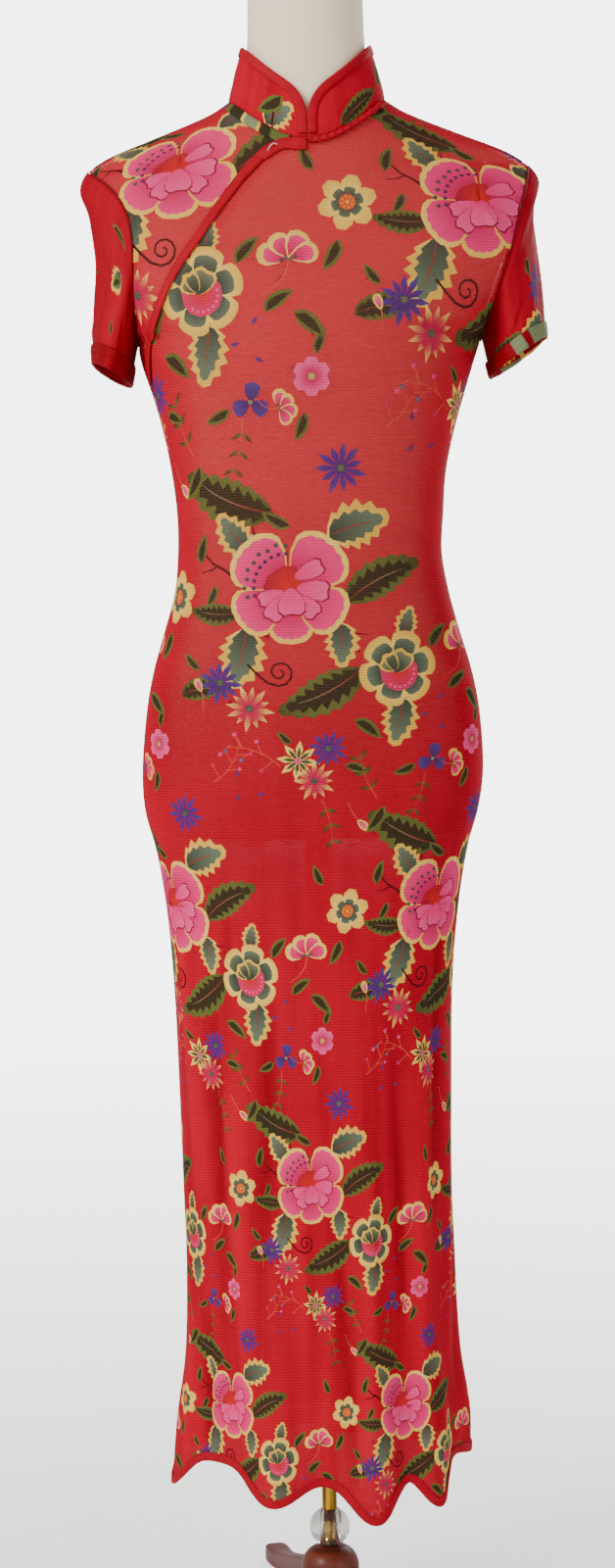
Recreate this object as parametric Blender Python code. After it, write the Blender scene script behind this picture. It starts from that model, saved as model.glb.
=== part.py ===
"""A maxi dress with a stand collar and a diagonal front opening, on a limbless dress form.

Metres, +Z up. The front faces -Y and the wearer's left is +X. The origin is on the
floor under the pole. The dress is a thin wall round the form; each cut piece is a solid
of its own, and pieces keep a small gap at their seams.
"""
import math
from collections import namedtuple
from functools import lru_cache

import bpy
from mathutils import Vector

# Cloth
WALL = 0.0012            # cloth wall, at the thin end of what a solid can carry
SEAM_GAP = 0.0003        # gap between neighbouring pieces
TRIM_WALL = 0.0011       # bindings and bands that lie on a panel
HEM_BAND = 0.0085        # height of the hem binding
PLACKET_WIDTH = (0.0125, 0.0070)   # binding of the opening, at the neck and at the underarm
PLACKET_LIFT = (0.0023, 0.0024)    # its underside above the cloth's middle, in the same places
COLLAR_BAND = 0.0085     # binding round the collar's edge
SLEEVE_BAND = {"right": 0.022, "left": 0.016}   # the turned sleeve hems
NECK_STRIP = (0.0025, 0.0090)      # neckline trims, distance from the edge

# Body heights
FORM_BOTTOM = 0.776
CHEST_ROW = 1.150        # rows follow the top edge above this height
UNDERARM = 1.254
SHOULDER_TIP = 1.420
SHOULDER_HALF = 0.212    # centre to shoulder tip
ROOF = 0.130             # height over which the chest rounds into the shoulder
ROOF_POWER = 1.8
SECTION_POWER = 2.25     # a section is an ellipse, a little squared
ARMHOLE_DEPTH = 0.075    # half of the armhole's depth, front to back

# Neck and collar
NECK_HALF = 0.075        # neckline, half width
NECK_FRONT = 0.065
NECK_BACK = 0.062
NECK_SIDE_Z = 1.484
NECK_RIDGE = {-1: (1.518, 1.5), 1: (1.540, 1.3)}   # height over the neck's centre, and power
COLLAR_HEIGHT = 0.050
COLLAR_LIFT = 0.0019     # collar's lower edge above the neckline
COLLAR_LEAN = (0.18, 0.055)   # how far the collar's top draws in, sideways and front to back
CORNER_DROP = 0.52       # the front corners are this share lower, rounded off
CORNER_LENGTH = 0.009

# Form and stand
FORM_GAP = 0.0030        # form to cloth, over the body
SEAT_GAP = 0.0004        # form to cloth on the shoulders, where the dress hangs
NECK_RADIUS = (0.058, 0.056)   # the form's neck, sideways and front to back
NECK_TOP = 1.602
POLE_RADIUS = 0.00725
BORE_GAP = 0.0003
SLEEVE_TUBE_RADIUS = 0.013
SLEEVE_TUBE_BOTTOM = 0.540
SOCKET_FLOOR = 0.170       # from the form's underside down to the end of the socket's bore
HUB_DOME = 0.020           # height of the rounded top
HUB_EDGE = 0.004           # bevel at the hub's foot
HUB_LIP = 0.003            # flat ring round the pole
POLE_IN_HUB = 0.030        # how far the pole goes down into the hub below the dome
NECK_EDGE = 0.004          # rounding of the neck's top
BALL_RADIUS = 0.0195
BALL_Z = 0.1015
HUB_RADIUS = 0.028
HUB_BOTTOM = 0.012
LEG_TURN = 13.0          # degrees that the cross of legs is turned
LEG_COUNT = 4

# Counts of rows and columns
SKIRT_ROWS = 16
BODY_ROWS = 10
NECK_COLUMNS = 5         # each side of the centre, to the side neck point
SIDE_COLUMNS = 9         # from there to the side seam
ARM_ROWS = 8

# Half widths to the wearer's right and left, and depths to the front and back, in mm
Section = namedtuple("Section", "z right left front back")
SECTIONS = [
    Section(0.130, 152, 134, 124, 124),
    Section(0.214, 146, 140, 116, 118),
    Section(0.280, 137, 132, 108, 112),
    Section(0.366, 135, 128, 103, 109),
    Section(0.442, 137, 125, 100, 108),
    Section(0.537, 139, 125, 98, 108),
    Section(0.632, 142, 127, 98, 110),
    Section(0.708, 148, 134, 97, 115),
    Section(0.765, 157, 144, 95, 120),
    Section(0.803, 167, 155, 95, 124),
    Section(0.841, 169, 160, 94, 126),
    Section(0.898, 164, 157, 92, 122),
    Section(0.936, 157, 150, 90, 114),
    Section(0.974, 146, 139, 88, 104),
    Section(1.012, 135, 129, 86, 95),
    Section(1.050, 131, 123, 86, 89),
    Section(1.088, 131, 125, 89, 88),
    Section(1.126, 135, 128, 94, 91),
    Section(1.164, 142, 136, 103, 95),
    Section(1.202, 152, 147, 116, 100),
    Section(1.240, 164, 159, 124, 103),
    Section(1.268, 166, 169, 124, 105),
    Section(1.306, 167, 182, 116, 106),
    Section(1.345, 167, 194, 102, 105),
    Section(1.378, 175, 203, 89, 101),
    Section(1.402, 191, 209, 79, 95),
    Section(1.420, 212, 212, 72, 88),
]

# Shoulder line from the side neck point to the tip
ShoulderPoint = namedtuple("ShoulderPoint", "x z")
SHOULDER = [
    ShoulderPoint(0.075, 1.484),
    ShoulderPoint(0.090, 1.474),
    ShoulderPoint(0.112, 1.464),
    ShoulderPoint(0.150, 1.449),
    ShoulderPoint(0.190, 1.433),
    ShoulderPoint(0.212, 1.420),
]

# Diagonal opening: share of the half width on the wearer's right, and height
PlacketPoint = namedtuple("PlacketPoint", "share z")
PLACKET = [
    PlacketPoint(0.000, 1.4400),
    PlacketPoint(0.127, 1.4326),
    PlacketPoint(0.240, 1.4155),
    PlacketPoint(0.457, 1.3775),
    PlacketPoint(0.633, 1.3395),
    PlacketPoint(0.772, 1.3060),
    PlacketPoint(0.880, 1.2680),
    PlacketPoint(0.945, 1.2320),
    PlacketPoint(1.000, 1.2050),
]

# Skirt folds: angle round the body (0 is the front, 90 the wearer's left), half width in
# degrees, outward depth and hem drop in mm, and the height where the fold begins
Fold = namedtuple("Fold", "angle spread depth drop start")
FOLDS = [
    Fold(-78, 13, 12, 32, 0.560),
    Fold(-17, 13, 17, 34, 0.640),
    Fold(15, 12, 19, 50, 0.600),
    Fold(45, 11, 15, 42, 0.520),
    Fold(80, 12, 9, 6, 0.430),
    Fold(112, 12, 14, 22, 0.560),
    Fold(143, 11, 18, 30, 0.620),
    Fold(172, 12, 15, 24, 0.500),
    Fold(203, 12, 19, 31, 0.640),
    Fold(236, 13, 14, 22, 0.540),
]
HEM_BASE = 0.186
FOLD_POWER = 1.5
FOLD_MEAN = 0.06         # taken off each fold, so that folds don't widen the skirt

# Sleeves: hem centre and half width across, half depth, heights of the hem inside and
# outside, and how far the sleeve head stands out
SleeveShape = namedtuple("SleeveShape", "across half depth inner_z outer_z head waist")
SLEEVES = {
    "right": SleeveShape(0.1915, 0.0180, 0.062, 1.222, 1.234, 0.008, 0.006),
    "left": SleeveShape(0.2000, 0.0270, 0.066, 1.222, 1.254, 0.009, 0.001),
}
SLEEVE_RINGS = (0.0, 0.07, 0.18, 0.36, 0.60, 0.84, 1.0)

# Legs: distance from the pole, underside, top and half width
LegSection = namedtuple("LegSection", "reach low high half")
LEG = [
    LegSection(0.0284, 0.020, 0.050, 0.0080),
    LegSection(0.0700, 0.025, 0.051, 0.0085),
    LegSection(0.1200, 0.018, 0.041, 0.0090),
    LegSection(0.1700, 0.008, 0.029, 0.0100),
    LegSection(0.2100, 0.002, 0.021, 0.0105),
    LegSection(0.2280, 0.000, 0.0190, 0.0115),
    LegSection(0.2500, 0.000, 0.0185, 0.0115),
    LegSection(0.2590, 0.000, 0.0160, 0.0085),
    LegSection(0.2620, 0.002, 0.0110, 0.0040),
]


def clamp(value, low, high):
    return max(low, min(high, value))


def smooth_table(rows, key, column, at):
    """Value of a column at a height, on a smooth curve through the table's rows."""
    last = len(rows) - 1
    at = clamp(at, getattr(rows[0], key), getattr(rows[last], key))
    i = 0
    while i < last - 1 and at > getattr(rows[i + 1], key):
        i += 1
    before, low, high, after = (rows[clamp(i + k, 0, last)] for k in (-1, 0, 1, 2))
    k0, k1, k2, k3 = (getattr(row, key) for row in (before, low, high, after))
    v0, v1, v2, v3 = (getattr(row, column) for row in (before, low, high, after))
    span = k2 - k1
    slope_low = (v2 - v0) / (k2 - k0)
    slope_high = (v3 - v1) / (k3 - k1)
    t = (at - k1) / span
    return (
        v1 * (1 - t) ** 2 * (1 + 2 * t)
        + v2 * t ** 2 * (3 - 2 * t)
        + span * slope_low * t * (1 - t) ** 2
        - span * slope_high * t ** 2 * (1 - t)
    )


def across_of(angle):
    """Share of the half width at an angle round the body, negative on the wearer's right."""
    s = math.sin(math.radians(angle))
    return math.copysign(abs(s) ** (2 / SECTION_POWER), s)


def angle_of(share):
    """Angle on the front at a share of the half width."""
    s = clamp(abs(share), 0, 1) ** (SECTION_POWER / 2)
    return math.copysign(math.degrees(math.asin(s)), share)


def half_width(angle, z):
    column = "left" if math.sin(math.radians(angle)) >= 0 else "right"
    return smooth_table(SECTIONS, "z", column, z) / 1000


def ridge_height(share, side):
    """Height of the ridge where front and back would meet: the shoulder, run on over the neck."""
    x = abs(share) * SHOULDER_HALF
    if x >= NECK_HALF:
        return smooth_table(SHOULDER, "x", "z", x)
    high, power = NECK_RIDGE[side]
    return high - (high - NECK_SIDE_Z) * (x / NECK_HALF) ** power


def body_depth(share, z, side):
    """Distance of the dress's middle surface from the side plane."""
    depth = smooth_table(SECTIONS, "z", "front" if side < 0 else "back", z) / 1000
    reach = (z - (UNDERARM + SHOULDER_TIP) / 2) / ((SHOULDER_TIP - UNDERARM) / 2)
    arm = ARMHOLE_DEPTH * math.sqrt(max(0.0, 1 - reach * reach))
    above = clamp((z - UNDERARM) / 0.05, 0, 1)
    through_low = max(0.0, 1 - abs(share) ** SECTION_POWER) ** (1 / SECTION_POWER)
    through_high = 1 - abs(share) ** 2.5
    through = through_low + (through_high - through_low) * above
    t = clamp((z - (ridge_height(share, side) - ROOF)) / ROOF, 0, 1)
    return (arm + (depth - arm) * through) * math.sqrt(1 - t ** ROOF_POWER)


@lru_cache(maxsize=None)
def neckline_height(part, side):
    """Height of the neckline, where the neck's oval cuts the dress's surface."""
    share = part * NECK_HALF / SHOULDER_HALF
    oval = (NECK_FRONT if side < 0 else NECK_BACK) * math.sqrt(max(0.0, 1 - part * part))
    high = ridge_height(share, side)
    low = high - ROOF
    for _ in range(30):
        z = (low + high) / 2
        if body_depth(share, z, side) > oval:
            low = z
        else:
            high = z
    return low


def top_edge(share, side):
    """Height of a panel's upper edge: the neckline, or the shoulder beyond it."""
    part = abs(share) * SHOULDER_HALF / NECK_HALF
    if part > 1 - 1e-7:
        return ridge_height(share, side)
    return neckline_height(round(part, 6), side)


def fold_weight(angle, fold):
    turn = (angle - fold.angle + 180) % 360 - 180
    return math.exp(-(turn / fold.spread) ** 2)


def hem_height(angle):
    return HEM_BASE - sum(fold_weight(angle, f) * f.drop for f in FOLDS) / 1000


def fold_depth(angle, z):
    total = 0.0
    for fold in FOLDS:
        if z < fold.start:
            grow = ((fold.start - z) / (fold.start - HEM_BASE)) ** FOLD_POWER
            total += (fold_weight(angle, fold) - FOLD_MEAN) * fold.depth / 1000 * min(grow, 1.3)
    return total


def body_point(angle, z, side):
    """A point of the dress's middle surface; side is -1 on the front and 1 on the back."""
    share = across_of(angle)
    out = fold_depth(angle, z)
    turn = math.radians(angle)
    return Vector((
        share * half_width(angle, z) + out * math.sin(turn),
        side * body_depth(share, z, side) - out * math.cos(turn),
        z,
    ))


def body_normal(angle, z, side):
    """Outward direction of the dress's surface. On a seam it lies in the seam's plane."""
    step = 0.8
    low, high = (-90, 90) if side < 0 else (90, 270)
    top_z = top_edge(across_of(angle), side)
    z = min(z, top_z - 0.0004)
    before = body_point(max(low, angle - step), z, side)
    after = body_point(min(high, angle + step), z, side)
    up = body_point(angle, min(z + 0.0004, top_z), side)
    down = body_point(angle, z - 0.0004, side)
    normal = (after - before).cross(up - down).normalized()
    on_side = abs(across_of(angle)) > 0.9999 and z < UNDERARM
    on_shoulder = top_z - z < 0.0005 and abs(across_of(angle)) * SHOULDER_HALF > NECK_HALF - 1e-6
    if on_side or on_shoulder:
        normal.y = 0
    return normal.normalized()


def seam_point(angle, z, side):
    """A point of the middle surface, drawn back from the side and shoulder seams."""
    point = body_point(angle, z, side)
    top_z = top_edge(across_of(angle), side)
    on_side = abs(across_of(angle)) > 0.9999 and z <= UNDERARM + 1e-6
    on_shoulder = z > top_z - 1e-6 and abs(across_of(angle)) * SHOULDER_HALF > NECK_HALF - 1e-6
    if on_side or on_shoulder:
        point.y += side * SEAM_GAP / 2
    return point


def placket_height(share):
    return smooth_table(PLACKET, "share", "z", clamp(-share, 0, 1))


def column_angles(side):
    """Angles of the columns of a panel, with one on each side neck point."""
    half = [
        angle_of(NECK_HALF / SHOULDER_HALF * math.sin(math.pi / 2 * i / NECK_COLUMNS))
        for i in range(NECK_COLUMNS)
    ]
    neck = angle_of(NECK_HALF / SHOULDER_HALF)
    half += [neck + (90 - neck) * i / SIDE_COLUMNS for i in range(SIDE_COLUMNS + 1)]
    front = [-a for a in reversed(half[1:])] + half
    return front if side < 0 else [180 - a for a in reversed(front)]


def column_rows(angle, side):
    """Heights of the rows of a column, from the hem to the upper edge."""
    hem = hem_height(angle)
    top = top_edge(across_of(angle), side)
    rows = [hem + (FORM_BOTTOM - hem) * j / SKIRT_ROWS for j in range(SKIRT_ROWS)]
    rows += [FORM_BOTTOM + (CHEST_ROW - FORM_BOTTOM) * j / BODY_ROWS for j in range(BODY_ROWS)]
    under = (UNDERARM - CHEST_ROW) / (SHOULDER_TIP - CHEST_ROW)
    shares = [under * j / 3 for j in range(3)]
    shares += [
        under + (1 - under) * (1 - math.cos(math.pi * j / ARM_ROWS)) / 2
        for j in range(ARM_ROWS + 1)
    ]
    return rows + [CHEST_ROW + (top - CHEST_ROW) * share for share in shares]


class Mesh:
    """Triangles on welded points."""

    def __init__(self):
        self.points = []
        self.faces = []
        self.index = {}

    def point(self, place):
        key = tuple(round(c * 1e7) for c in place)
        if key not in self.index:
            self.index[key] = len(self.points)
            self.points.append(Vector(place))
        return self.index[key]

    def triangle(self, a, b, c):
        ids = [self.point(p) for p in (a, b, c)]
        if len(set(ids)) == 3:
            self.faces.append(ids)

    def quad(self, a, b, c, d):
        self.triangle(a, b, c)
        self.triangle(a, c, d)

    def zip_columns(self, first, second, flip):
        """Triangles between two chains of (level, point) that rise side by side."""
        i = j = 0
        while i < len(first) - 1 or j < len(second) - 1:
            next_i = first[i + 1][0] if i < len(first) - 1 else math.inf
            next_j = second[j + 1][0] if j < len(second) - 1 else math.inf
            a, b = first[i][1], second[j][1]
            if next_i == next_j:
                c, d = second[j + 1][1], first[i + 1][1]
                if flip:
                    self.triangle(c, b, a)
                    self.triangle(d, c, a)
                else:
                    self.quad(a, b, c, d)
                i, j = i + 1, j + 1
            elif next_i < next_j:
                corners = (a, b, first[i + 1][1])
                self.triangle(*(reversed(corners) if flip else corners))
                i += 1
            else:
                corners = (a, b, second[j + 1][1])
                self.triangle(*(reversed(corners) if flip else corners))
                j += 1


def wall_mesh(columns, inner, outer, closed=False):
    """A wall on columns of (level, point, normal), between two offsets along the normals."""
    mesh = Mesh()
    inside = [[(level, p + n * inner) for level, p, n in column] for column in columns]
    outside = [[(level, p + n * outer) for level, p, n in column] for column in columns]
    pairs = [(i, i + 1) for i in range(len(columns) - 1)]
    if closed:
        pairs.append((len(columns) - 1, 0))
    for i, k in pairs:
        mesh.zip_columns(outside[i], outside[k], False)
        mesh.zip_columns(inside[i], inside[k], True)
        mesh.quad(inside[i][0][1], inside[k][0][1], outside[k][0][1], outside[i][0][1])
        mesh.quad(outside[i][-1][1], outside[k][-1][1], inside[k][-1][1], inside[i][-1][1])
    if not closed:
        for j in range(len(columns[0]) - 1):
            mesh.quad(inside[0][j][1], outside[0][j][1], outside[0][j + 1][1], inside[0][j + 1][1])
        last = len(columns) - 1
        for j in range(len(columns[last]) - 1):
            mesh.quad(
                outside[last][j][1], inside[last][j][1], inside[last][j + 1][1], outside[last][j + 1][1]
            )
    return mesh


MATERIALS = {}


def material(name, colour, roughness, metallic=0.0, alpha=1.0):
    if name not in MATERIALS:
        made = bpy.data.materials.new(name)
        made.use_nodes = True
        shader = made.node_tree.nodes["Principled BSDF"]
        shader.inputs["Base Color"].default_value = (*colour, 1)
        shader.inputs["Roughness"].default_value = roughness
        shader.inputs["Metallic"].default_value = metallic
        shader.inputs["Alpha"].default_value = alpha
        MATERIALS[name] = made
    return MATERIALS[name]


def red_mesh():
    return material("red_mesh", (0.56, 0.03, 0.035), 0.75)


def crimson_binding():
    return material("crimson_binding", (0.50, 0.005, 0.015), 0.6)


def form_cloth():
    return material("form_cloth", (0.72, 0.62, 0.50), 0.85)


def brass():
    return material("brass", (0.70, 0.45, 0.14), 0.25, metallic=1.0)


def red_wood():
    return material("red_wood", (0.20, 0.05, 0.02), 0.35)


def clear_glass():
    return material("clear_glass", (0.95, 0.97, 0.96), 0.03, alpha=0.35)


def dark_metal():
    return material("dark_metal", (0.06, 0.05, 0.045), 0.4, metallic=0.8)


def add_object(name, mesh, finish):
    data = bpy.data.meshes.new(name)
    data.from_pydata([tuple(p) for p in mesh.points], [], mesh.faces)
    data.materials.append(finish)
    piece = bpy.data.objects.new(name, data)
    bpy.context.collection.objects.link(piece)
    data.shade_smooth()
    data.set_sharp_from_angle(angle=math.radians(50))
    return piece


def placket_cut(angle, direction):
    """Height of a panel's edge on the opening, half a seam gap up or down the curve."""
    share = across_of(angle)
    step = 0.01
    rise = placket_height(share + step) - placket_height(share - step)
    run = 2 * step * half_width(angle, placket_height(share))
    slope = rise / run
    return placket_height(share) + direction * SEAM_GAP / 2 * math.sqrt(1 + slope * slope)


def panel_column(angle, side, low=None, high=None):
    """A panel's column, cut off below or above a height; rows close to a cut are left out."""
    margin = 0.0025
    column = []
    for level, z in enumerate(column_rows(angle, side)):
        if low is not None and z < low + margin:
            continue
        if high is not None and z > high - margin:
            continue
        column.append((level, z))
    if low is not None:
        column.insert(0, (column[0][0] - 0.5 if column else 0.0, low))
    if high is not None:
        column.append((column[-1][0] + 0.5, high))
    return [
        (level, seam_point(angle, z, side), body_normal(angle, z, side)) for level, z in column
    ]


def front_main():
    columns = []
    for angle in column_angles(-1):
        high = placket_cut(angle, -1) if across_of(angle) < -0.02 else None
        columns.append(panel_column(angle, -1, high=high))
    add_object("front_main", wall_mesh(columns, -WALL / 2, WALL / 2), red_mesh())


def front_yoke():
    columns = []
    for angle in column_angles(-1):
        share = across_of(angle)
        if share < -0.02:
            columns.append(panel_column(angle, -1, low=placket_cut(angle, 1)))
    add_object("front_yoke", wall_mesh(columns, -WALL / 2, WALL / 2), red_mesh())


def back():
    columns = [panel_column(angle, 1) for angle in column_angles(1)]
    add_object("back", wall_mesh(columns, -WALL / 2, WALL / 2), red_mesh())


def front_below(x, depth):
    """Angle and height of the front's point at a place in plan, near the upper edge."""
    angle = angle_of(x / SHOULDER_HALF)
    high = top_edge(across_of(angle), -1)
    low = high - ROOF
    for _ in range(24):
        z = (low + high) / 2
        angle = angle_of(x / half_width(x * 90, z))
        if -body_point(angle, z, -1).y < depth:
            high = z
        else:
            low = z
    return angle, low


def neckline_spot(part, distance):
    """A point of the front at a distance down from the neckline; part is 1 at the side neck."""
    turn = math.radians(90 * part)
    out = Vector((math.sin(turn) / NECK_HALF, math.cos(turn) / NECK_FRONT)).normalized()
    edge = Vector((NECK_HALF * math.sin(turn), NECK_FRONT * math.cos(turn)))
    angle, z = front_below(edge.x, edge.y + 0.0001)
    start = body_point(angle, z, -1)
    low, high = 0.0, distance
    for _ in range(14):
        reach = (low + high) / 2
        spot = edge + out * reach
        angle, z = front_below(spot.x, spot.y)
        if (body_point(angle, z, -1) - start).length < distance:
            low = reach
        else:
            high = reach
    return angle, z


def strip(name, path, finish, lifts):
    """A flat trim on the front: path has (angle, height) pairs, lower edge first."""
    columns = []
    for pairs, lift in zip(path, lifts):
        column = []
        for level, (angle, z) in enumerate(pairs):
            normal = body_normal(angle, z, -1)
            column.append((level, body_point(angle, z, -1) + normal * lift, normal))
        columns.append(column)
    add_object(name, wall_mesh(columns, 0, TRIM_WALL), finish)


def placket_binding():
    """Binding over the diagonal seam, from the front neck to the underarm."""
    count = 34
    edge_room = PLACKET_WIDTH[0] / 2 + 0.0012

    def centre(share):
        angle = angle_of(share)
        z = min(placket_height(share), top_edge(share, -1) - edge_room)
        return Vector((share * half_width(angle, z), z))

    path = []
    lifts = []
    for i in range(count, -1, -1):
        share = -0.004 - 0.976 * i / count
        along = (centre(share + 0.004) - centre(share - 0.004)).normalized()
        across = Vector((-along.y, along.x))
        wide = PLACKET_WIDTH[0] + (PLACKET_WIDTH[1] - PLACKET_WIDTH[0]) * i / count
        pairs = []
        for place in (-0.5, -0.17, 0.17, 0.5):
            spot = centre(share) + across * wide * place
            reach = half_width(-90, spot.y)
            pairs.append((min(angle_of(max(spot.x / reach, -0.992)), -0.15), spot.y))
        path.append(pairs)
        lifts.append(PLACKET_LIFT[0] + (PLACKET_LIFT[1] - PLACKET_LIFT[0]) * (i / count) ** 2)
    strip("placket_binding", path, crimson_binding(), lifts)


def neckline_trims():
    """Piping under the collar on the wearer's left, and the yoke's turned edge on the right."""
    near, far = NECK_STRIP
    for name, sign, start, end, finish in (
        ("neckline_piping", 1, 0.01, 0.94, crimson_binding()),
        ("yoke_neck_edge", -1, 0.94, 0.36, red_mesh()),
    ):
        path = []
        count = 12
        for i in range(count + 1):
            part = start + (end - start) * i / count
            pairs = []
            for distance in (far, (near + far) / 2, near):
                angle, z = neckline_spot(part, distance)
                pairs.append((sign * angle, z))
            path.append(pairs)
        strip(name, path, finish, [WALL / 2 + SEAM_GAP + 0.0003] * len(path))


def hem_binding():
    columns = []
    for side in (-1, 1):
        for angle in column_angles(side)[:-1]:
            hem = hem_height(angle)
            columns.append([
                (level, body_point(angle, z, side), body_normal(angle, z, side))
                for level, z in enumerate((hem, hem + HEM_BAND))
            ])
    lift = WALL / 2 + SEAM_GAP
    add_object("hem_binding", wall_mesh(columns, lift, lift + TRIM_WALL, closed=True), crimson_binding())


def collar_height(angle):
    """Height of the collar, rounded down towards its two front corners."""
    turn = min(angle, 360 - angle)
    distance = math.radians(turn) * (NECK_HALF + NECK_FRONT) / 2
    return COLLAR_HEIGHT * (1 - CORNER_DROP * math.exp(-distance / CORNER_LENGTH))


def collar_point(angle, rise):
    """A point of the collar's middle surface, at a height above the neckline."""
    turn = math.radians(angle)
    side = -1 if math.cos(turn) > 0 else 1
    depth = NECK_FRONT if side < 0 else NECK_BACK
    base = neckline_height(round(abs(math.sin(turn)), 6), side)
    lean = clamp(rise / COLLAR_HEIGHT, 0, 1.2) ** 1.2
    return Vector((
        NECK_HALF * math.sin(turn) * (1 - COLLAR_LEAN[0] * lean),
        -depth * math.cos(turn) * (1 - COLLAR_LEAN[1] * lean),
        base + COLLAR_LIFT + rise,
    ))


def collar_normal(angle, rise):
    along = collar_point(angle + 0.5, rise) - collar_point(angle - 0.5, rise)
    up = collar_point(angle, rise + 0.001) - collar_point(angle, rise)
    return along.cross(up).normalized()


COLLAR_ENDS = (1.0, 2.6, 5, 8, 12, 17, 23, 31, 42, 54, 66, 78, 90, 105, 120, 135, 150, 165)


def collar_angles():
    return list(COLLAR_ENDS) + [180] + [360 - a for a in reversed(COLLAR_ENDS)]


def collar():
    columns = []
    for angle in collar_angles():
        high = collar_height(angle)
        columns.append([
            (level, collar_point(angle, high * level / 3), collar_normal(angle, high * level / 3))
            for level in range(4)
        ])
    add_object("collar", wall_mesh(columns, -WALL / 2, WALL / 2), red_mesh())


def collar_binding():
    """Binding round the collar's free edge, up one front, round the top and down the other."""
    half = [(COLLAR_ENDS[0], rise) for rise in (0.0006, 0.008, 0.016)]
    half += [(a, collar_height(a)) for a in COLLAR_ENDS]
    edge = half + [(180, COLLAR_HEIGHT)] + [(360 - a, rise) for a, rise in reversed(half)]
    arc = (NECK_HALF + NECK_FRONT) / 2

    def flat(spot):
        return Vector((math.radians(spot[0]) * arc, spot[1]))

    columns = []
    for i, spot in enumerate(edge):
        ahead = flat(edge[min(i + 1, len(edge) - 1)])
        behind = flat(edge[max(i - 1, 0)])
        along = (ahead - behind).normalized()
        inward = Vector((along.y, -along.x))
        column = []
        for level, part in enumerate((1.0, 0.5, 0.0)):
            place = flat(spot) + inward * COLLAR_BAND * part
            angle = math.degrees(place.x / arc)
            rise = max(place.y, 0.0006)
            column.append((level, collar_point(angle, rise), collar_normal(angle, rise)))
        columns.append(column)
    lift = WALL / 2 + SEAM_GAP
    add_object("collar_binding", wall_mesh(columns, lift, lift + TRIM_WALL), crimson_binding())


def armhole_heights(side, name):
    """Heights of the rows of a panel on the armhole, from the underarm to the tip."""
    angle = -90 if name == "right" else 90
    rows = column_rows(angle, side)
    return rows[-(ARM_ROWS + 1):]


def sleeve_ring_start(name):
    """The armhole as a loop: underarm, up the front, tip, down the back."""
    sign = -1 if name == "right" else 1
    angle = 90 * sign
    loop = []
    for side, heights in ((-1, armhole_heights(-1, name)), (1, armhole_heights(1, name)[::-1])):
        for z in heights[:-1]:
            loop.append(body_point(angle, z, side))
    for k, point in enumerate(loop):
        low = (1 + math.cos(2 * math.pi * k / len(loop))) / 2
        point.x += sign * (SEAM_GAP + 0.0003 + (WALL + SEAM_GAP) * low ** 6)
    return loop


def sleeve_point(name, start, k, share):
    """A point of the sleeve on the line from the armhole's point k to the hem."""
    shape = SLEEVES[name]
    sign = -1 if name == "right" else 1
    turn = 2 * math.pi * k / len(start)
    outer = (1 - math.cos(turn)) / 2
    hem = Vector((
        sign * (shape.across - shape.half * math.cos(turn)),
        -shape.depth * math.sin(turn),
        shape.inner_z + (shape.outer_z - shape.inner_z) * outer,
    ))
    point = start[k % len(start)].lerp(hem, share)
    head = shape.head * math.exp(-((share - 0.10) / 0.09) ** 2) * (0 if share == 0 else 1)
    waist = shape.waist * math.exp(-((share - 0.48) / 0.2) ** 2)
    point.x += sign * (head - waist) * outer ** 2
    return point


def sleeve_column(name, start, k, shares):
    """Points and outward normals down one line of a sleeve, hem first."""
    count = len(start)
    centre = Vector((SLEEVES[name].across * (-1 if name == "right" else 1), 0, 0))
    column = []
    for level, share in enumerate(shares):
        here = sleeve_point(name, start, k, share)
        along = sleeve_point(name, start, (k + 1) % count, share)
        along = along - sleeve_point(name, start, (k - 1) % count, share)
        down = sleeve_point(name, start, k, min(share + 0.03, 1))
        down = down - sleeve_point(name, start, k, max(share - 0.03, 0.01))
        normal = along.cross(down).normalized()
        out = Vector((here.x - centre.x, here.y, 0))
        if normal.dot(out) < 0:
            normal = -normal
        column.append((level, here, normal))
    return column


def sleeves():
    for name in ("right", "left"):
        start = sleeve_ring_start(name)
        shares = SLEEVE_RINGS[::-1]
        order = range(len(start)) if name == "left" else range(len(start) - 1, -1, -1)
        columns = [sleeve_column(name, start, k, shares) for k in order]
        add_object("sleeve_" + name, wall_mesh(columns, -WALL / 2, WALL / 2, closed=True), red_mesh())
        bands = []
        for k in order:
            length = (sleeve_point(name, start, k, 1) - start[k]).length
            rise = min(SLEEVE_BAND[name] / length, 0.8)
            bands.append(sleeve_column(name, start, k, (1.0, 1 - rise / 2, 1 - rise)))
        lift = WALL / 2 + 2 * SEAM_GAP
        mesh = wall_mesh(bands, lift, lift + TRIM_WALL, closed=True)
        add_object("sleeve_hem_" + name, mesh, red_mesh())


def form_gap(angle, z, side):
    """Form to cloth: the body gap, closing to the seat gap at the shoulders."""
    top = top_edge(across_of(angle), side)
    near = clamp((z - (top - 0.05)) / 0.045, 0, 1)
    return WALL / 2 + FORM_GAP + (SEAT_GAP - FORM_GAP) * near


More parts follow.
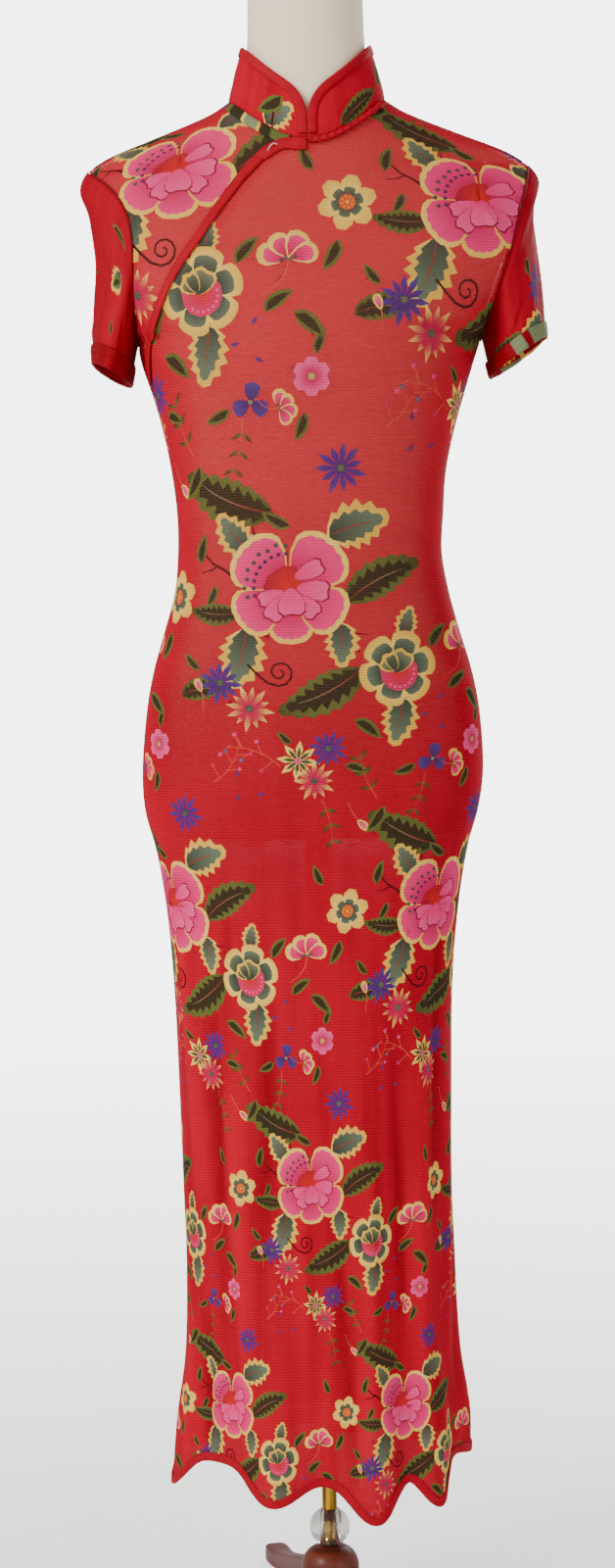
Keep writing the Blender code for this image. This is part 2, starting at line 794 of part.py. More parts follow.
def form_body():
    """The form: torso under the dress, flat armhole plates, and the neck up to its flat top."""
    grid = {}
    for side in (-1, 1):
        grid[side] = []
        for angle in column_angles(side):
            column = []
            for level, z in enumerate(column_rows(angle, side)[SKIRT_ROWS:]):
                inset = form_gap(angle, z, side)
                normal = body_normal(angle, z, side)
                point = body_point(angle, z, side) - normal * inset
                if abs(across_of(angle)) > 0.9999 and z <= UNDERARM + 1e-6:
                    point.y = 0
                column.append((level, point))
            grid[side].append(column)
    under = BODY_ROWS + 3
    for front, rear in ((grid[-1][-1], grid[1][0]), (grid[-1][0], grid[1][-1])):
        last = len(front) - 1
        rear[under] = front[under]
        rear[last] = front[last]
    mesh = Mesh()
    for side in (-1, 1):
        columns = grid[side]
        if side > 0:
            for k in range(len(columns)):
                twin = grid[-1][len(columns) - 1 - k]
                if abs(across_of(column_angles(1)[k])) * SHOULDER_HALF > NECK_HALF - 1e-6:
                    columns[k][-1] = twin[-1]
        for first, second in zip(columns, columns[1:]):
            mesh.zip_columns(first, second, False)
    for front, rear, flip in ((grid[-1][-1], grid[1][0], False), (grid[-1][0], grid[1][-1], True)):
        mesh.zip_columns(front[under:], rear[under:], flip)
    bottom = [column[0][1] for column in grid[-1][:-1] + grid[1][:-1]]
    centre = Vector((0, 0, FORM_BOTTOM))
    for here, ahead in zip(bottom, bottom[1:] + bottom[:1]):
        mesh.triangle(centre, ahead, here)
    neck_loop = [
        column[-1][1]
        for side in (-1, 1)
        for column in grid[side][SIDE_COLUMNS:-SIDE_COLUMNS - 1]
    ]
    neck_rings(mesh, neck_loop)
    add_object("form_body", mesh, form_cloth())


NeckRing = namedtuple("NeckRing", "height blend inset")
NECK_RINGS = [
    NeckRing(1.508, 0.72, 0.0),
    NeckRing(1.532, 1.0, 0.0),
    NeckRing(1.565, 1.0, 0.0),
    NeckRing(NECK_TOP - NECK_EDGE, 1.0, 0.0),
    NeckRing(NECK_TOP, 1.0, NECK_EDGE),
]


def neck_rings(mesh, loop):
    """The neck from the neckline loop up, as rings that turn into a round tube."""
    count = len(loop)
    ring = loop
    for row in NECK_RINGS:
        above = []
        for k, base in enumerate(loop):
            turn = 2 * math.pi * (k - NECK_COLUMNS) / count
            tube = Vector((
                (NECK_RADIUS[0] - row.inset) * math.sin(turn),
                -(NECK_RADIUS[1] - row.inset) * math.cos(turn),
                row.height,
            ))
            flat = Vector((base.x, base.y, row.height))
            above.append(flat.lerp(tube, row.blend))
        for k in range(count):
            nxt = (k + 1) % count
            mesh.quad(ring[k], ring[nxt], above[nxt], above[k])
        ring = above
    centre = Vector((0, 0, NECK_TOP))
    for k in range(count):
        mesh.triangle(centre, ring[k], ring[(k + 1) % count])


def turned(name, profile, segments, finish):
    """A turned solid: profile has (radius, height) pairs up its outside and back down its bore."""
    mesh = Mesh()
    rings = [
        [
            Vector((r * math.cos(2 * math.pi * k / segments), r * math.sin(2 * math.pi * k / segments), z))
            for k in range(segments)
        ]
        for r, z in profile
    ]
    for low, high in zip(rings, rings[1:]):
        for k in range(segments):
            nxt = (k + 1) % segments
            mesh.quad(low[k], low[nxt], high[nxt], high[k])
    add_object(name, mesh, finish)


def stand():
    bore = POLE_RADIUS + BORE_GAP
    top = FORM_BOTTOM - SEAM_GAP
    socket_floor = top - SOCKET_FLOOR
    turned("pole_socket", [
        (0, socket_floor), (bore, socket_floor),
        (bore, SLEEVE_TUBE_BOTTOM), (SLEEVE_TUBE_RADIUS, SLEEVE_TUBE_BOTTOM),
        (SLEEVE_TUBE_RADIUS, top), (0, top),
    ], 20, dark_metal())
    hub_top = BALL_Z - math.sqrt(BALL_RADIUS ** 2 - bore ** 2) - SEAM_GAP
    dome = hub_top - HUB_DOME
    pole_bottom = dome - POLE_IN_HUB
    pole_top = socket_floor - 2 * BORE_GAP
    turned("pole", [
        (0, pole_bottom), (POLE_RADIUS, pole_bottom),
        (POLE_RADIUS, pole_top), (0, pole_top),
    ], 20, brass())
    ball = [(bore, hub_top + SEAM_GAP)]
    low = math.asin((BALL_Z - hub_top - SEAM_GAP) / BALL_RADIUS)
    for i in range(1, 12):
        turn = -low + 2 * low * i / 12
        ball.append((BALL_RADIUS * math.cos(turn), BALL_Z + BALL_RADIUS * math.sin(turn)))
    ball.append((bore, 2 * BALL_Z - hub_top - SEAM_GAP))
    turned("glass_ball", ball + ball[:1], 24, clear_glass())
    hub = [(0, HUB_BOTTOM), (HUB_RADIUS - HUB_EDGE, HUB_BOTTOM), (HUB_RADIUS, HUB_BOTTOM + HUB_EDGE)]
    lip = bore + HUB_LIP
    hub += [
        (lip + (HUB_RADIUS - lip) * math.cos(math.radians(a)),
         dome + (hub_top - dome) * math.sin(math.radians(a)))
        for a in (0, 22, 45, 68, 90)
    ]
    hub += [(bore, hub_top), (bore, pole_bottom - BORE_GAP), (0, pole_bottom - BORE_GAP)]
    turned("base_hub", hub, 24, red_wood())


def legs():
    """Four low curved legs in a cross, each with a flat underside at its foot."""
    corners = ((-0.55, 0.0), (0.55, 0.0), (1.0, 0.28), (1.0, 0.66), (0.55, 1.0), (-0.55, 1.0),
               (-1.0, 0.66), (-1.0, 0.28))
    for i in range(LEG_COUNT):
        turn = math.radians(LEG_TURN + 90 + 360 / LEG_COUNT * i)
        out = Vector((math.cos(turn), math.sin(turn), 0))
        wide = Vector((-math.sin(turn), math.cos(turn), 0))
        mesh = Mesh()
        rings = [
            [
                out * row.reach + wide * row.half * across
                + Vector((0, 0, row.low + (row.high - row.low) * up))
                for across, up in corners
            ]
            for row in LEG
        ]
        count = len(corners)
        for near, far in zip(rings, rings[1:]):
            for k in range(count):
                nxt = (k + 1) % count
                mesh.quad(near[k], near[nxt], far[nxt], far[k])
        for ring, flip in ((rings[0], True), (rings[-1], False)):
            for k in range(1, count - 1):
                corner = (ring[0], ring[k], ring[k + 1])
                mesh.triangle(*(reversed(corner) if flip else corner))
        add_object(f"leg_{i + 1}", mesh, red_wood())


def main():
    for old in list(bpy.data.objects):
        bpy.data.objects.remove(old, do_unlink=True)
    front_main()
    front_yoke()
    back()
    placket_binding()
    neckline_trims()
    hem_binding()
    collar()
    collar_binding()
    sleeves()
    form_body()
    stand()
    legs()


main()
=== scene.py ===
import math
import bpy
import numpy as np
from mathutils import Matrix, Vector
from mathutils.geometry import delaunay_2d_cdt


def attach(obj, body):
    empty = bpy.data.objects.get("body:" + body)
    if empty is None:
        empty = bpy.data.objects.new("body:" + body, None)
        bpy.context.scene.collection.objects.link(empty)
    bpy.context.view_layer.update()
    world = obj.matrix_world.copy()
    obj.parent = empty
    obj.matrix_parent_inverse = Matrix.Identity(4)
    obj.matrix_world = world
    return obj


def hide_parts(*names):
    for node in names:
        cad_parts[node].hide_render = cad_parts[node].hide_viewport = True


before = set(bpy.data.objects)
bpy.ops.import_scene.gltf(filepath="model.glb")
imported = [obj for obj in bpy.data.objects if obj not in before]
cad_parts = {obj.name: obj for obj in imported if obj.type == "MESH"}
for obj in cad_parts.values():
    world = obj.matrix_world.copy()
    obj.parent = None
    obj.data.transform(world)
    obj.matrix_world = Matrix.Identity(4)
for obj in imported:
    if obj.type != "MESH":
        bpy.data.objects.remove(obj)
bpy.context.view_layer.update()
print("frame loaded")

# Metres, the front faces -Y, the wearer's left is +X


def makeCamera():
    # view of the whole stand from the front, a little below the middle of the dress
    settings = {"place": (-0.010, -3.0, 0.912), "pitchDown": 1.63, "roll": -0.94,
                "focalPixels": 3158, "framePixels": 1600, "sensor": 36}
    data = bpy.data.cameras.new("photoCamera")
    data.sensor_fit = "VERTICAL"
    data.sensor_height = settings["sensor"]
    data.lens = settings["sensor"] * settings["focalPixels"] / settings["framePixels"]
    data.clip_end = 100
    camera = bpy.data.objects.new("photoCamera", data)
    bpy.context.scene.collection.objects.link(camera)
    turn = Matrix.Rotation(math.radians(90 - settings["pitchDown"]), 4, "X")
    roll = Matrix.Rotation(math.radians(settings["roll"]), 4, "Z")
    camera.matrix_world = Matrix.Translation(settings["place"]) @ turn @ roll
    bpy.context.scene.camera = camera


makeCamera()
print("camera placed")

# Shape of the dress, the same surface that the solids were cut from
body = {
    "formBottom": 0.776, "underarm": 1.254, "shoulderTip": 1.420, "shoulderHalf": 0.212,
    "roof": 0.130, "roofPower": 1.8, "sectionPower": 2.25, "armholeDepth": 0.075,
    "neckHalf": 0.075, "neckDepth": {-1: 0.065, 1: 0.062}, "neckSideZ": 1.484,
    "neckRidge": {-1: (1.518, 1.5), 1: (1.540, 1.3)},
    "hemBase": 0.186, "foldPower": 1.5, "foldMean": 0.06,
}
# height in m, then half widths (wearer's right, left) and depths (front, back) in mm
sections = np.array([
    (0.130, 152, 134, 124, 124), (0.214, 146, 140, 116, 118), (0.280, 137, 132, 108, 112),
    (0.366, 135, 128, 103, 109), (0.442, 137, 125, 100, 108), (0.537, 139, 125, 98, 108),
    (0.632, 142, 127, 98, 110), (0.708, 148, 134, 97, 115), (0.765, 157, 144, 95, 120),
    (0.803, 167, 155, 95, 124), (0.841, 169, 160, 94, 126), (0.898, 164, 157, 92, 122),
    (0.936, 157, 150, 90, 114), (0.974, 146, 139, 88, 104), (1.012, 135, 129, 86, 95),
    (1.050, 131, 123, 86, 89), (1.088, 131, 125, 89, 88), (1.126, 135, 128, 94, 91),
    (1.164, 142, 136, 103, 95), (1.202, 152, 147, 116, 100), (1.240, 164, 159, 124, 103),
    (1.268, 166, 169, 124, 105), (1.306, 167, 182, 116, 106), (1.345, 167, 194, 102, 105),
    (1.378, 175, 203, 89, 101), (1.402, 191, 209, 79, 95), (1.420, 212, 212, 72, 88),
])
shoulder = np.array([  # x, z from the side neck point to the tip
    (0.075, 1.484), (0.090, 1.474), (0.112, 1.464), (0.150, 1.449), (0.190, 1.433), (0.212, 1.420),
])
opening = np.array([  # diagonal opening: share of the half width, height
    (0.000, 1.4400), (0.127, 1.4326), (0.240, 1.4155), (0.457, 1.3775), (0.633, 1.3395),
    (0.772, 1.3060), (0.880, 1.2680), (0.945, 1.2320), (1.000, 1.2050),
])
folds = np.array([  # angle, spread in degrees, depth and hem drop in mm, height where it begins
    (-78, 13, 12, 32, 0.560), (-17, 13, 17, 34, 0.640), (15, 12, 19, 50, 0.600),
    (45, 11, 15, 42, 0.520), (80, 12, 9, 6, 0.430), (112, 12, 14, 22, 0.560),
    (143, 11, 18, 30, 0.620), (172, 12, 15, 24, 0.500), (203, 12, 19, 31, 0.640),
    (236, 13, 14, 22, 0.540),
])


def smoothCurve(keys, values, at):
    # smooth curve through a table's points
    order = np.arange(len(keys))
    up = np.minimum(order + 1, len(keys) - 1)
    down = np.maximum(order - 1, 0)
    slope = (values[up] - values[down]) / (keys[up] - keys[down])
    at = np.clip(at, keys[0], keys[-1])
    i = np.clip(np.searchsorted(keys, at, side="right") - 1, 0, len(keys) - 2)
    span = keys[i + 1] - keys[i]
    t = (at - keys[i]) / span
    ends = values[i] * (1 - t) ** 2 * (1 + 2 * t) + values[i + 1] * t ** 2 * (3 - 2 * t)
    return ends + span * t * (1 - t) * (slope[i] * (1 - t) - slope[i + 1] * t)


def unit(vectors):
    return vectors / np.linalg.norm(vectors, axis=1)[:, None]


def lengthAlong(points):
    # distance of each point of a path from its start
    return np.concatenate([[0], np.cumsum(np.linalg.norm(np.diff(points, axis=0), axis=1))])


def shareAt(angle):
    s = np.sin(np.radians(angle))
    return np.sign(s) * np.abs(s) ** (2 / body["sectionPower"])


def angleAt(share):
    s = np.clip(np.abs(share), 0, 1) ** (body["sectionPower"] / 2)
    return np.sign(share) * np.degrees(np.arcsin(s))


def halfWidth(angle, z):
    right = smoothCurve(sections[:, 0], sections[:, 1], z)
    left = smoothCurve(sections[:, 0], sections[:, 2], z)
    return np.where(np.sin(np.radians(angle)) >= 0, left, right) / 1000


def ridgeHeight(share, side):
    x = np.abs(share) * body["shoulderHalf"]
    high, power = body["neckRidge"][side]
    overNeck = high - (high - body["neckSideZ"]) * (x / body["neckHalf"]) ** power
    return np.where(x >= body["neckHalf"], smoothCurve(shoulder[:, 0], shoulder[:, 1], x), overNeck)


def bodyDepth(share, z, side):
    depth = smoothCurve(sections[:, 0], sections[:, 3 if side < 0 else 4], z) / 1000
    middle = (body["underarm"] + body["shoulderTip"]) / 2
    reach = (z - middle) / (body["shoulderTip"] - middle)
    arm = body["armholeDepth"] * np.sqrt(np.maximum(0, 1 - reach ** 2))
    above = np.clip((z - body["underarm"]) / 0.05, 0, 1)
    power = body["sectionPower"]
    low = np.maximum(0, 1 - np.abs(share) ** power) ** (1 / power)
    through = low + (1 - np.abs(share) ** 2.5 - low) * above
    t = np.clip((z - (ridgeHeight(share, side) - body["roof"])) / body["roof"], 0, 1)
    return (arm + (depth - arm) * through) * np.sqrt(1 - t ** body["roofPower"])


def necklineHeight(part, side):
    # part is 0 at the centre and 1 at the side neck point
    part = np.minimum(np.abs(part), 1)
    share = part * body["neckHalf"] / body["shoulderHalf"]
    oval = body["neckDepth"][side] * np.sqrt(1 - part ** 2)
    high = ridgeHeight(share, side)
    low = high - body["roof"]
    for _ in range(30):
        z = (low + high) / 2
        outside = bodyDepth(share, z, side) > oval
        low = np.where(outside, z, low)
        high = np.where(outside, high, z)
    return low


def topEdge(share, side):
    part = np.abs(share) * body["shoulderHalf"] / body["neckHalf"]
    return np.where(part >= 1, ridgeHeight(share, side), necklineHeight(part, side))


def foldWeight(angle, fold):
    return np.exp(-(((angle - fold[0] + 180) % 360 - 180) / fold[1]) ** 2)


def hemHeight(angle):
    return body["hemBase"] - sum(foldWeight(angle, f) * f[3] for f in folds) / 1000


def foldDepth(angle, z):
    total = np.zeros(np.broadcast(angle, z).shape)
    for f in folds:
        grow = np.clip((f[4] - z) / (f[4] - body["hemBase"]), 0, None) ** body["foldPower"]
        total += (foldWeight(angle, f) - body["foldMean"]) * f[2] / 1000 * np.minimum(grow, 1.3)
    return total


def bodyPlace(angle, z, side):
    # points of the cloth's middle, side is -1 on the front and 1 on the back
    angle, z = np.broadcast_arrays(np.asarray(angle, float), np.asarray(z, float))
    share = shareAt(angle)
    out = foldDepth(angle, z)
    turn = np.radians(angle)
    x = share * halfWidth(angle, z) + out * np.sin(turn)
    y = side * bodyDepth(share, z, side) - out * np.cos(turn)
    return np.stack([x, y, z], -1)


def openingHeight(share):
    return smoothCurve(opening[:, 0], opening[:, 1], np.clip(-share, 0, 1))


class Panel:
    # flat cloth coordinates of the front or back: across is measured along the cloth from
    # the centre line, up is the height, stretched where the chest rounds into the shoulder
    def __init__(self, side):
        self.side = side
        self.angles = np.linspace(-90, 90, 181) + (0 if side < 0 else 180)
        self.rows = np.arange(0.10, 1.62, 0.004)
        grid = bodyPlace(*self.spots(self.angles[None, :], self.rows[:, None]), side)
        step = np.linalg.norm(np.diff(grid, axis=1), axis=2)
        arc = np.concatenate([np.zeros((len(self.rows), 1)), np.cumsum(step, axis=1)], axis=1)
        self.arc = arc - arc[:, 90:91]

    def spots(self, angle, up):
        # angle and height at a height on the flat cloth
        angle, up = np.broadcast_arrays(angle, up)
        start = ridgeHeight(shareAt(angle), self.side) - body["roof"]
        bend = np.clip((up - start) / body["roof"], 0, math.pi / 2)
        return angle, np.where(up < start, up, start + body["roof"] * np.sin(bend))

    def upAt(self, angle, z):
        start = ridgeHeight(shareAt(angle), self.side) - body["roof"]
        rise = np.clip((z - start) / body["roof"], 0, 1)
        return np.where(z < start, z, start + body["roof"] * np.arcsin(rise))

    def rowAt(self, up):
        row = np.clip((up - self.rows[0]) / (self.rows[1] - self.rows[0]), 0, len(self.rows) - 1.001)
        return row.astype(int), row - row.astype(int)

    def acrossAt(self, angle, up):
        low, part = self.rowAt(up)
        place = np.clip(angle - self.angles[0], 0, 179.999)
        col = place.astype(int)
        side = place - col
        def at(r):
            return self.arc[r, col] * (1 - side) + self.arc[r, col + 1] * side
        return at(low) * (1 - part) + at(low + 1) * part

    def angleOf(self, across, up):
        low, part = self.rowAt(up)
        found = np.zeros(len(across))
        for r in np.unique(low):
            here = low == r
            first = np.interp(across[here], self.arc[r], self.angles)
            second = np.interp(across[here], self.arc[r + 1], self.angles)
            found[here] = first * (1 - part[here]) + second * part[here]
        return found

    def place(self, flat):
        angle, z = self.spots(self.angleOf(flat[:, 0], flat[:, 1]), flat[:, 1])
        z = np.minimum(z, topEdge(shareAt(angle), self.side))
        return bodyPlace(angle, z, self.side)

    def flat(self, angle, z):
        # flat coordinates of points given by angle and height
        angle, z = np.broadcast_arrays(np.asarray(angle, float), np.asarray(z, float))
        up = self.upAt(angle, z)
        return np.stack([self.acrossAt(angle, up), up], -1)


frontPanel = Panel(-1)
backPanel = Panel(1)
print("surface of the dress ready")


# Print: flower and leaf shapes drawn as flat outlines in mm, each painted over the ones before it
def paint(red, green, blue):
    # an ink as it looks on a screen, given in linear light
    return np.array([((c / 255 + 0.055) / 1.055) ** 2.4 for c in (red, green, blue)])


inks = {
    "cream": paint(250, 212, 98), "butter": paint(234, 184, 70), "pink": paint(244, 52, 122),
    "deepPink": paint(196, 16, 74), "rose": paint(248, 86, 146), "petalLine": paint(142, 12, 54),
    "heartRed": paint(206, 34, 30), "stamen": paint(58, 38, 92), "stamenTip": paint(52, 78, 72),
    "teal": paint(88, 116, 92), "darkTeal": paint(34, 70, 56), "greyGreen": paint(120, 134, 98),
    "olive": paint(84, 102, 46), "darkGreen": paint(24, 46, 26), "midrib": paint(150, 50, 44),
    "purple": paint(66, 32, 116), "blue": paint(62, 58, 130), "berry": paint(216, 40, 96),
    "twig": paint(44, 16, 16), "stem": paint(222, 90, 56), "orange": paint(222, 84, 26),
}


def petalOutline(length, width, pinch=0.5, notch=0.0, ruffle=0.0, waves=5, count=14, base=0.0):
    t = np.linspace(-math.pi, math.pi, count, endpoint=False)
    rise = (1 + np.cos(t)) / 2
    across = np.sin(t) * rise ** pinch
    swell = 1 + ruffle * np.cos(waves * t) * rise
    x = across / np.abs(across).max() * width / 2 * swell
    y = base + length * rise * swell - notch * np.exp(-(t / 0.45) ** 2)
    return np.stack([x, y], -1)


def leafOutline(length, width, bend=0.3, teeth=0, tooth=0.3, count=9, start=0.0, end=1.0):
    # a bent leaf from its stalk up; teeth point towards the tip
    s = np.linspace(start, end, (2 * teeth if teeth else count) + 2)
    half = width / 2 * np.sin(math.pi * np.clip(s, 0, 1) ** 0.8) ** 0.75
    if teeth:
        saw = np.where(np.arange(len(s)) % 2 == 0, 1 + tooth, 1 - tooth * 0.6)
        saw[0] = saw[-1] = 1
        half = half * saw
        s = s + np.where(saw > 1, 0.035, 0)
        s[-1] = end
    x = length * (1 - np.cos(bend * s)) / bend
    y = length * np.sin(bend * s) / bend
    side = np.stack([np.cos(bend * s), -np.sin(bend * s)], -1) * half[:, None]
    line = np.stack([x, y], -1)
    return np.concatenate([line + side, (line - side)[-2:0:-1]])


def strokeOutline(path, wide, thin=0.3):
    # a brush stroke along a path, tapering to its end
    path = np.asarray(path, float)
    along = np.gradient(path, axis=0)
    along = unit(along)
    side = np.stack([along[:, 1], -along[:, 0]], -1)
    half = np.linspace(wide, thin, len(path))[:, None] / 2
    return np.concatenate([path + side * half, (path - side * half)[::-1]])


def turned(points, degrees, x=0.0, y=0.0, size=1.0):
    c, s = math.cos(math.radians(degrees)), math.sin(math.radians(degrees))
    return points @ np.array([[c, -s], [s, c]]) * size + np.array([x, y])


def lobeOutline(middle, half, radius, ruffle=0.02, waves=5, count=15, notch=0.60, base=0.0):
    # one broad petal seen from the flower's centre, with a scalloped rim
    u = np.linspace(-1, 1, count)
    turn = np.radians(middle + half * u)
    rim = radius * (notch + (1 - notch) * (1 - np.abs(u) ** 3.2) ** 0.6)
    rim = rim * (1 + ruffle * (np.abs(np.cos(waves * math.pi * u / 2)) - 0.5) * (1 - np.abs(u) ** 4))
    edge = np.stack([rim * np.sin(turn), rim * np.cos(turn)], -1)
    back = np.array([[base * math.sin(math.radians(middle)), base * math.cos(math.radians(middle))]])
    return np.concatenate([edge, back])


def heartOutline(length, width, count=12, notch=0.16):
    t = np.linspace(-math.pi, math.pi, count, endpoint=False)
    rise = (1 + np.cos(t)) / 2
    x = np.sin(t) * (0.55 + 0.45 * rise) * width / 2
    return np.stack([x, length * (rise - notch * np.exp(-(t / 0.5) ** 2))], -1)


class Print:
    # shapes in paint order: outline, colours near and far from a centre, and the two distances
    def __init__(self):
        self.shapes = []
        self.spot = (0, 0, 0, 1)

    def add(self, outline, near, far=None, centre=(0, 0), reach=(0, 30)):
        x, y, turn, size = self.spot
        far = near if far is None else far
        points = turned(np.asarray(outline, float), turn, x, y, size) / 1000
        middle = turned(np.array([centre], float), turn, x, y, size)[0] / 1000
        spans = np.array(reach) * size / 1000
        self.shapes.append((points, inks[near], inks[far], middle, spans))

    def dot(self, x, y, radius, near, far=None, sides=6):
        t = np.arange(sides) / sides * 2 * math.pi
        ring = np.stack([x + radius * np.cos(t), y + radius * np.sin(t)], -1)
        self.add(ring, near, far, (x, y), (0, radius))

    def peony(self):
        lobes = ((176, 33, 57), (-124, 37, 62), (118, 36, 63), (-48, 44, 64), (44, 42, 66))
        for middle, half, radius in lobes:
            self.add(lobeOutline(middle, half, radius), "butter", "cream", reach=(40, 66))
            inside = lobeOutline(middle, half - 2.5, radius - 5.2, 0.03, 7)
            self.add(inside, "deepPink", "pink", reach=(18, 52))
        heart = turned(petalOutline(34, 40, 0.4, count=9), -36, 6, -8)
        self.add(heart, "heartRed", "petalLine", (0, 6), (6, 30))
        for k in range(9):
            turn = math.radians(-104 + 12.5 * k)
            for far, size, ink in ((42 + 2 * (k % 2), 2.6, "stamenTip"), (34.5, 2.3, "stamen")):
                self.dot(far * math.sin(turn), far * math.cos(turn) + 2, size, ink, sides=5)
        for turn, x, y, length, width in ((62, 6, 12, 36, 24), (96, 8, 2, 38, 28), (-112, -4, -2, 33, 22),
                                          (-150, -4, -6, 35, 26), (134, 8, -6, 34, 26), (176, 2, 2, 34, 36)):
            self.add(turned(heartOutline(length, width), turn, x, y), "petalLine")
            self.add(turned(heartOutline(length - 2.2, width - 2.4), turn, x, y), "pink", "rose",
                     (x, y), (8, 32))

    def tealFlower(self):
        self.tealLeaf(size=0.5, turn=-4, x=2, y=36)
        for k in range(6):
            self.add(lobeOutline(60 * k + 8, 32, 45, 0.02, 3, 9, 0.7), "cream", "butter", reach=(30, 45))
            self.add(lobeOutline(60 * k + 8, 28, 36, 0.02, 3, 9, 0.72), "darkTeal", "teal", reach=(22, 37))
        self.dot(2, -4, 22, "heartRed", "berry", 12)
        for k in range(8):
            turn = math.radians(70 + 20 * k)
            self.dot(2 + 17 * math.sin(turn), -4 + 17 * math.cos(turn), 1.8, "rose", sides=5)
        for turn, x, y, length, width in ((-76, 4, 2, 30, 26), (24, -4, -4, 32, 32), (-32, -2, -2, 26, 20)):
            self.add(turned(heartOutline(length, width), turn, x, y), "butter")
            self.add(turned(heartOutline(length - 4, width - 5), turn, x, y), "darkTeal", "greyGreen",
                     (x, y), (10, 30))

    def darkLeaf(self):
        bend = 0.55
        self.add(leafOutline(112, 46, bend, 7, 0.13), "olive", "darkGreen", (14, 52), (30, 74))
        self.add(leafOutline(104, 27, bend, 7, 0.42, start=0.03, end=0.97), "darkGreen")
        rib = leafOutline(98, 1.6, bend, count=5, start=0.02, end=0.92)
        self.add(rib, "midrib", "greyGreen", reach=(20, 100))

    def tealLeaf(self, size=1.0, turn=0, x=0, y=0):
        def put(outline, *look):
            self.add(turned(outline, turn, x, y, size), *look)
        put(leafOutline(76, 48, 0.35, 5, 0.22), "cream", "butter")
        put(leafOutline(68, 31, 0.35, 5, 0.2, start=0.02), "darkTeal", "teal", (x, y), (10, 56 * size))
        put(leafOutline(58, 1.8, 0.35, count=4, start=0.03), "midrib")

    def smallLeaf(self):
        self.add(leafOutline(32, 13, 0.4, count=4), "olive")
        self.add(leafOutline(28, 7, 0.4, count=3, start=0.06), "darkGreen")

    def daisy(self, near="purple", far="blue", petals=11, tip=None):
        for k in range(petals):
            length = 22 + 2.5 * math.sin(2.4 * k)
            petal = np.array([(-1, 3), (-3, length * 0.62), (0, length), (3, length * 0.62), (1, 3)])
            self.add(turned(petal, 360 / petals * k), near, tip or far,
                     reach=(13, 19) if tip else (8, 22))
        self.dot(0, 0, 4.0, "greyGreen", "darkTeal", 7)

    def pinkDaisy(self):
        self.daisy("deepPink", "berry", 12, tip="cream")

    def creamDaisy(self):
        for k in range(8):
            petal = np.array([(-1, 2), (-3.8, 13), (0, 22), (3.8, 13), (1, 2)])
            self.add(turned(petal, 45 * k + 8), "cream")
            self.add(turned(petal * (0.55, 0.72), 45 * k + 8), "darkTeal", "olive", reach=(4, 16))
        self.dot(0, 0, 3.6, "berry", "rose", 7)

    def star(self):
        for k in range(6):
            self.add(turned(petalOutline(27, 19, 0.35, -3, count=9), 60 * k + 5), "cream", "butter",
                     reach=(12, 27))
        for k in range(6):
            self.add(turned(petalOutline(17, 11, 0.5, 1.5, count=8), 60 * k + 5), "darkTeal", "teal",
                     reach=(6, 18))
        self.dot(0, 0, 8.0, "butter", "orange", 10)
        for k in range(8):
            self.add(turned(np.array([(-1, 2), (0, 10), (1, 2)]), 45 * k), "heartRed")

    def orchid(self):
        for turn, length, width in ((-72, 30, 21), (-24, 27, 20), (34, 29, 22), (80, 29, 20)):
            self.add(turned(petalOutline(length, width, 0.5, 2, 0.03, 4, 11), turn), "cream", "butter",
                     reach=(18, 30))
            inside = turned(petalOutline(length - 5, width - 5, 0.5, 2, count=9), turn, 1)
            self.add(inside, "deepPink", "pink", reach=(4, 22))
        for k in range(4):
            self.dot(-6 + 4 * k, -1.5 + 2 * (k % 2), 2.2, "greyGreen", "darkTeal", 5)
        self.add(strokeOutline([(0, -3), (-4, -14), (-14, -24), (-27, -30)], 1.2, 0.7), "stem")

    def blossom(self):
        for k in range(6):
            self.add(turned(petalOutline(16, 13, 0.4, count=7), 60 * k), "deepPink", "rose", reach=(3, 13))
        self.dot(0, 0, 3.4, "butter", "greyGreen", 6)

    def pansy(self):
        for turn in (0, 110, 235):
            self.add(turned(petalOutline(18, 14, 0.4, 2, count=9), turn), "stamen", "blue", reach=(3, 17))
        self.dot(0, 0, 2.2, "greyGreen", sides=5)

    def scroll(self):
        # a stem that rolls up at its end
        turns, size, lead = 1.5, 15.0, 34.0
        t = np.linspace(0, 1, 17)
        spin = t * turns * 2 * math.pi
        radius = size * (1 - 0.86 * t)
        curl = np.stack([radius * np.sin(spin), size - radius * np.cos(spin) - size], -1)
        stem = np.array([(-lead, 7), (-lead * 0.66, -3), (-lead * 0.33, -11)]) - (0, size - 13)
        self.add(strokeOutline(np.concatenate([stem, curl]), 2.6, 2.0), "twig")

    def twig(self):
        self.add(strokeOutline([(0, 0), (6, 14), (9, 28), (17, 42)], 3.0, 1.6), "twig")
        self.add(strokeOutline([(8, 22), (1, 30), (-3, 39)], 1.8, 0.9), "twig")

    def leafSprig(self):
        stalk = strokeOutline([(0, 0), (3, 20), (9, 40), (19, 60)], 1.1, 0.6)
        self.add(stalk, "stem", "olive", reach=(0, 50))
        for k in range(3):
            at = (k + 0.7) / 3
            x, y = 19 * at ** 1.7, 60 * at
            for side in (-1, 1):
                leaf = np.array([(-0.5, 1.2), (-2.6, 8), (0, 17), (2.6, 8), (0.5, 1.2)])
                self.add(turned(leaf, side * 52 + 14, x, y), "olive", "darkGreen", (x, y), (3, 14))

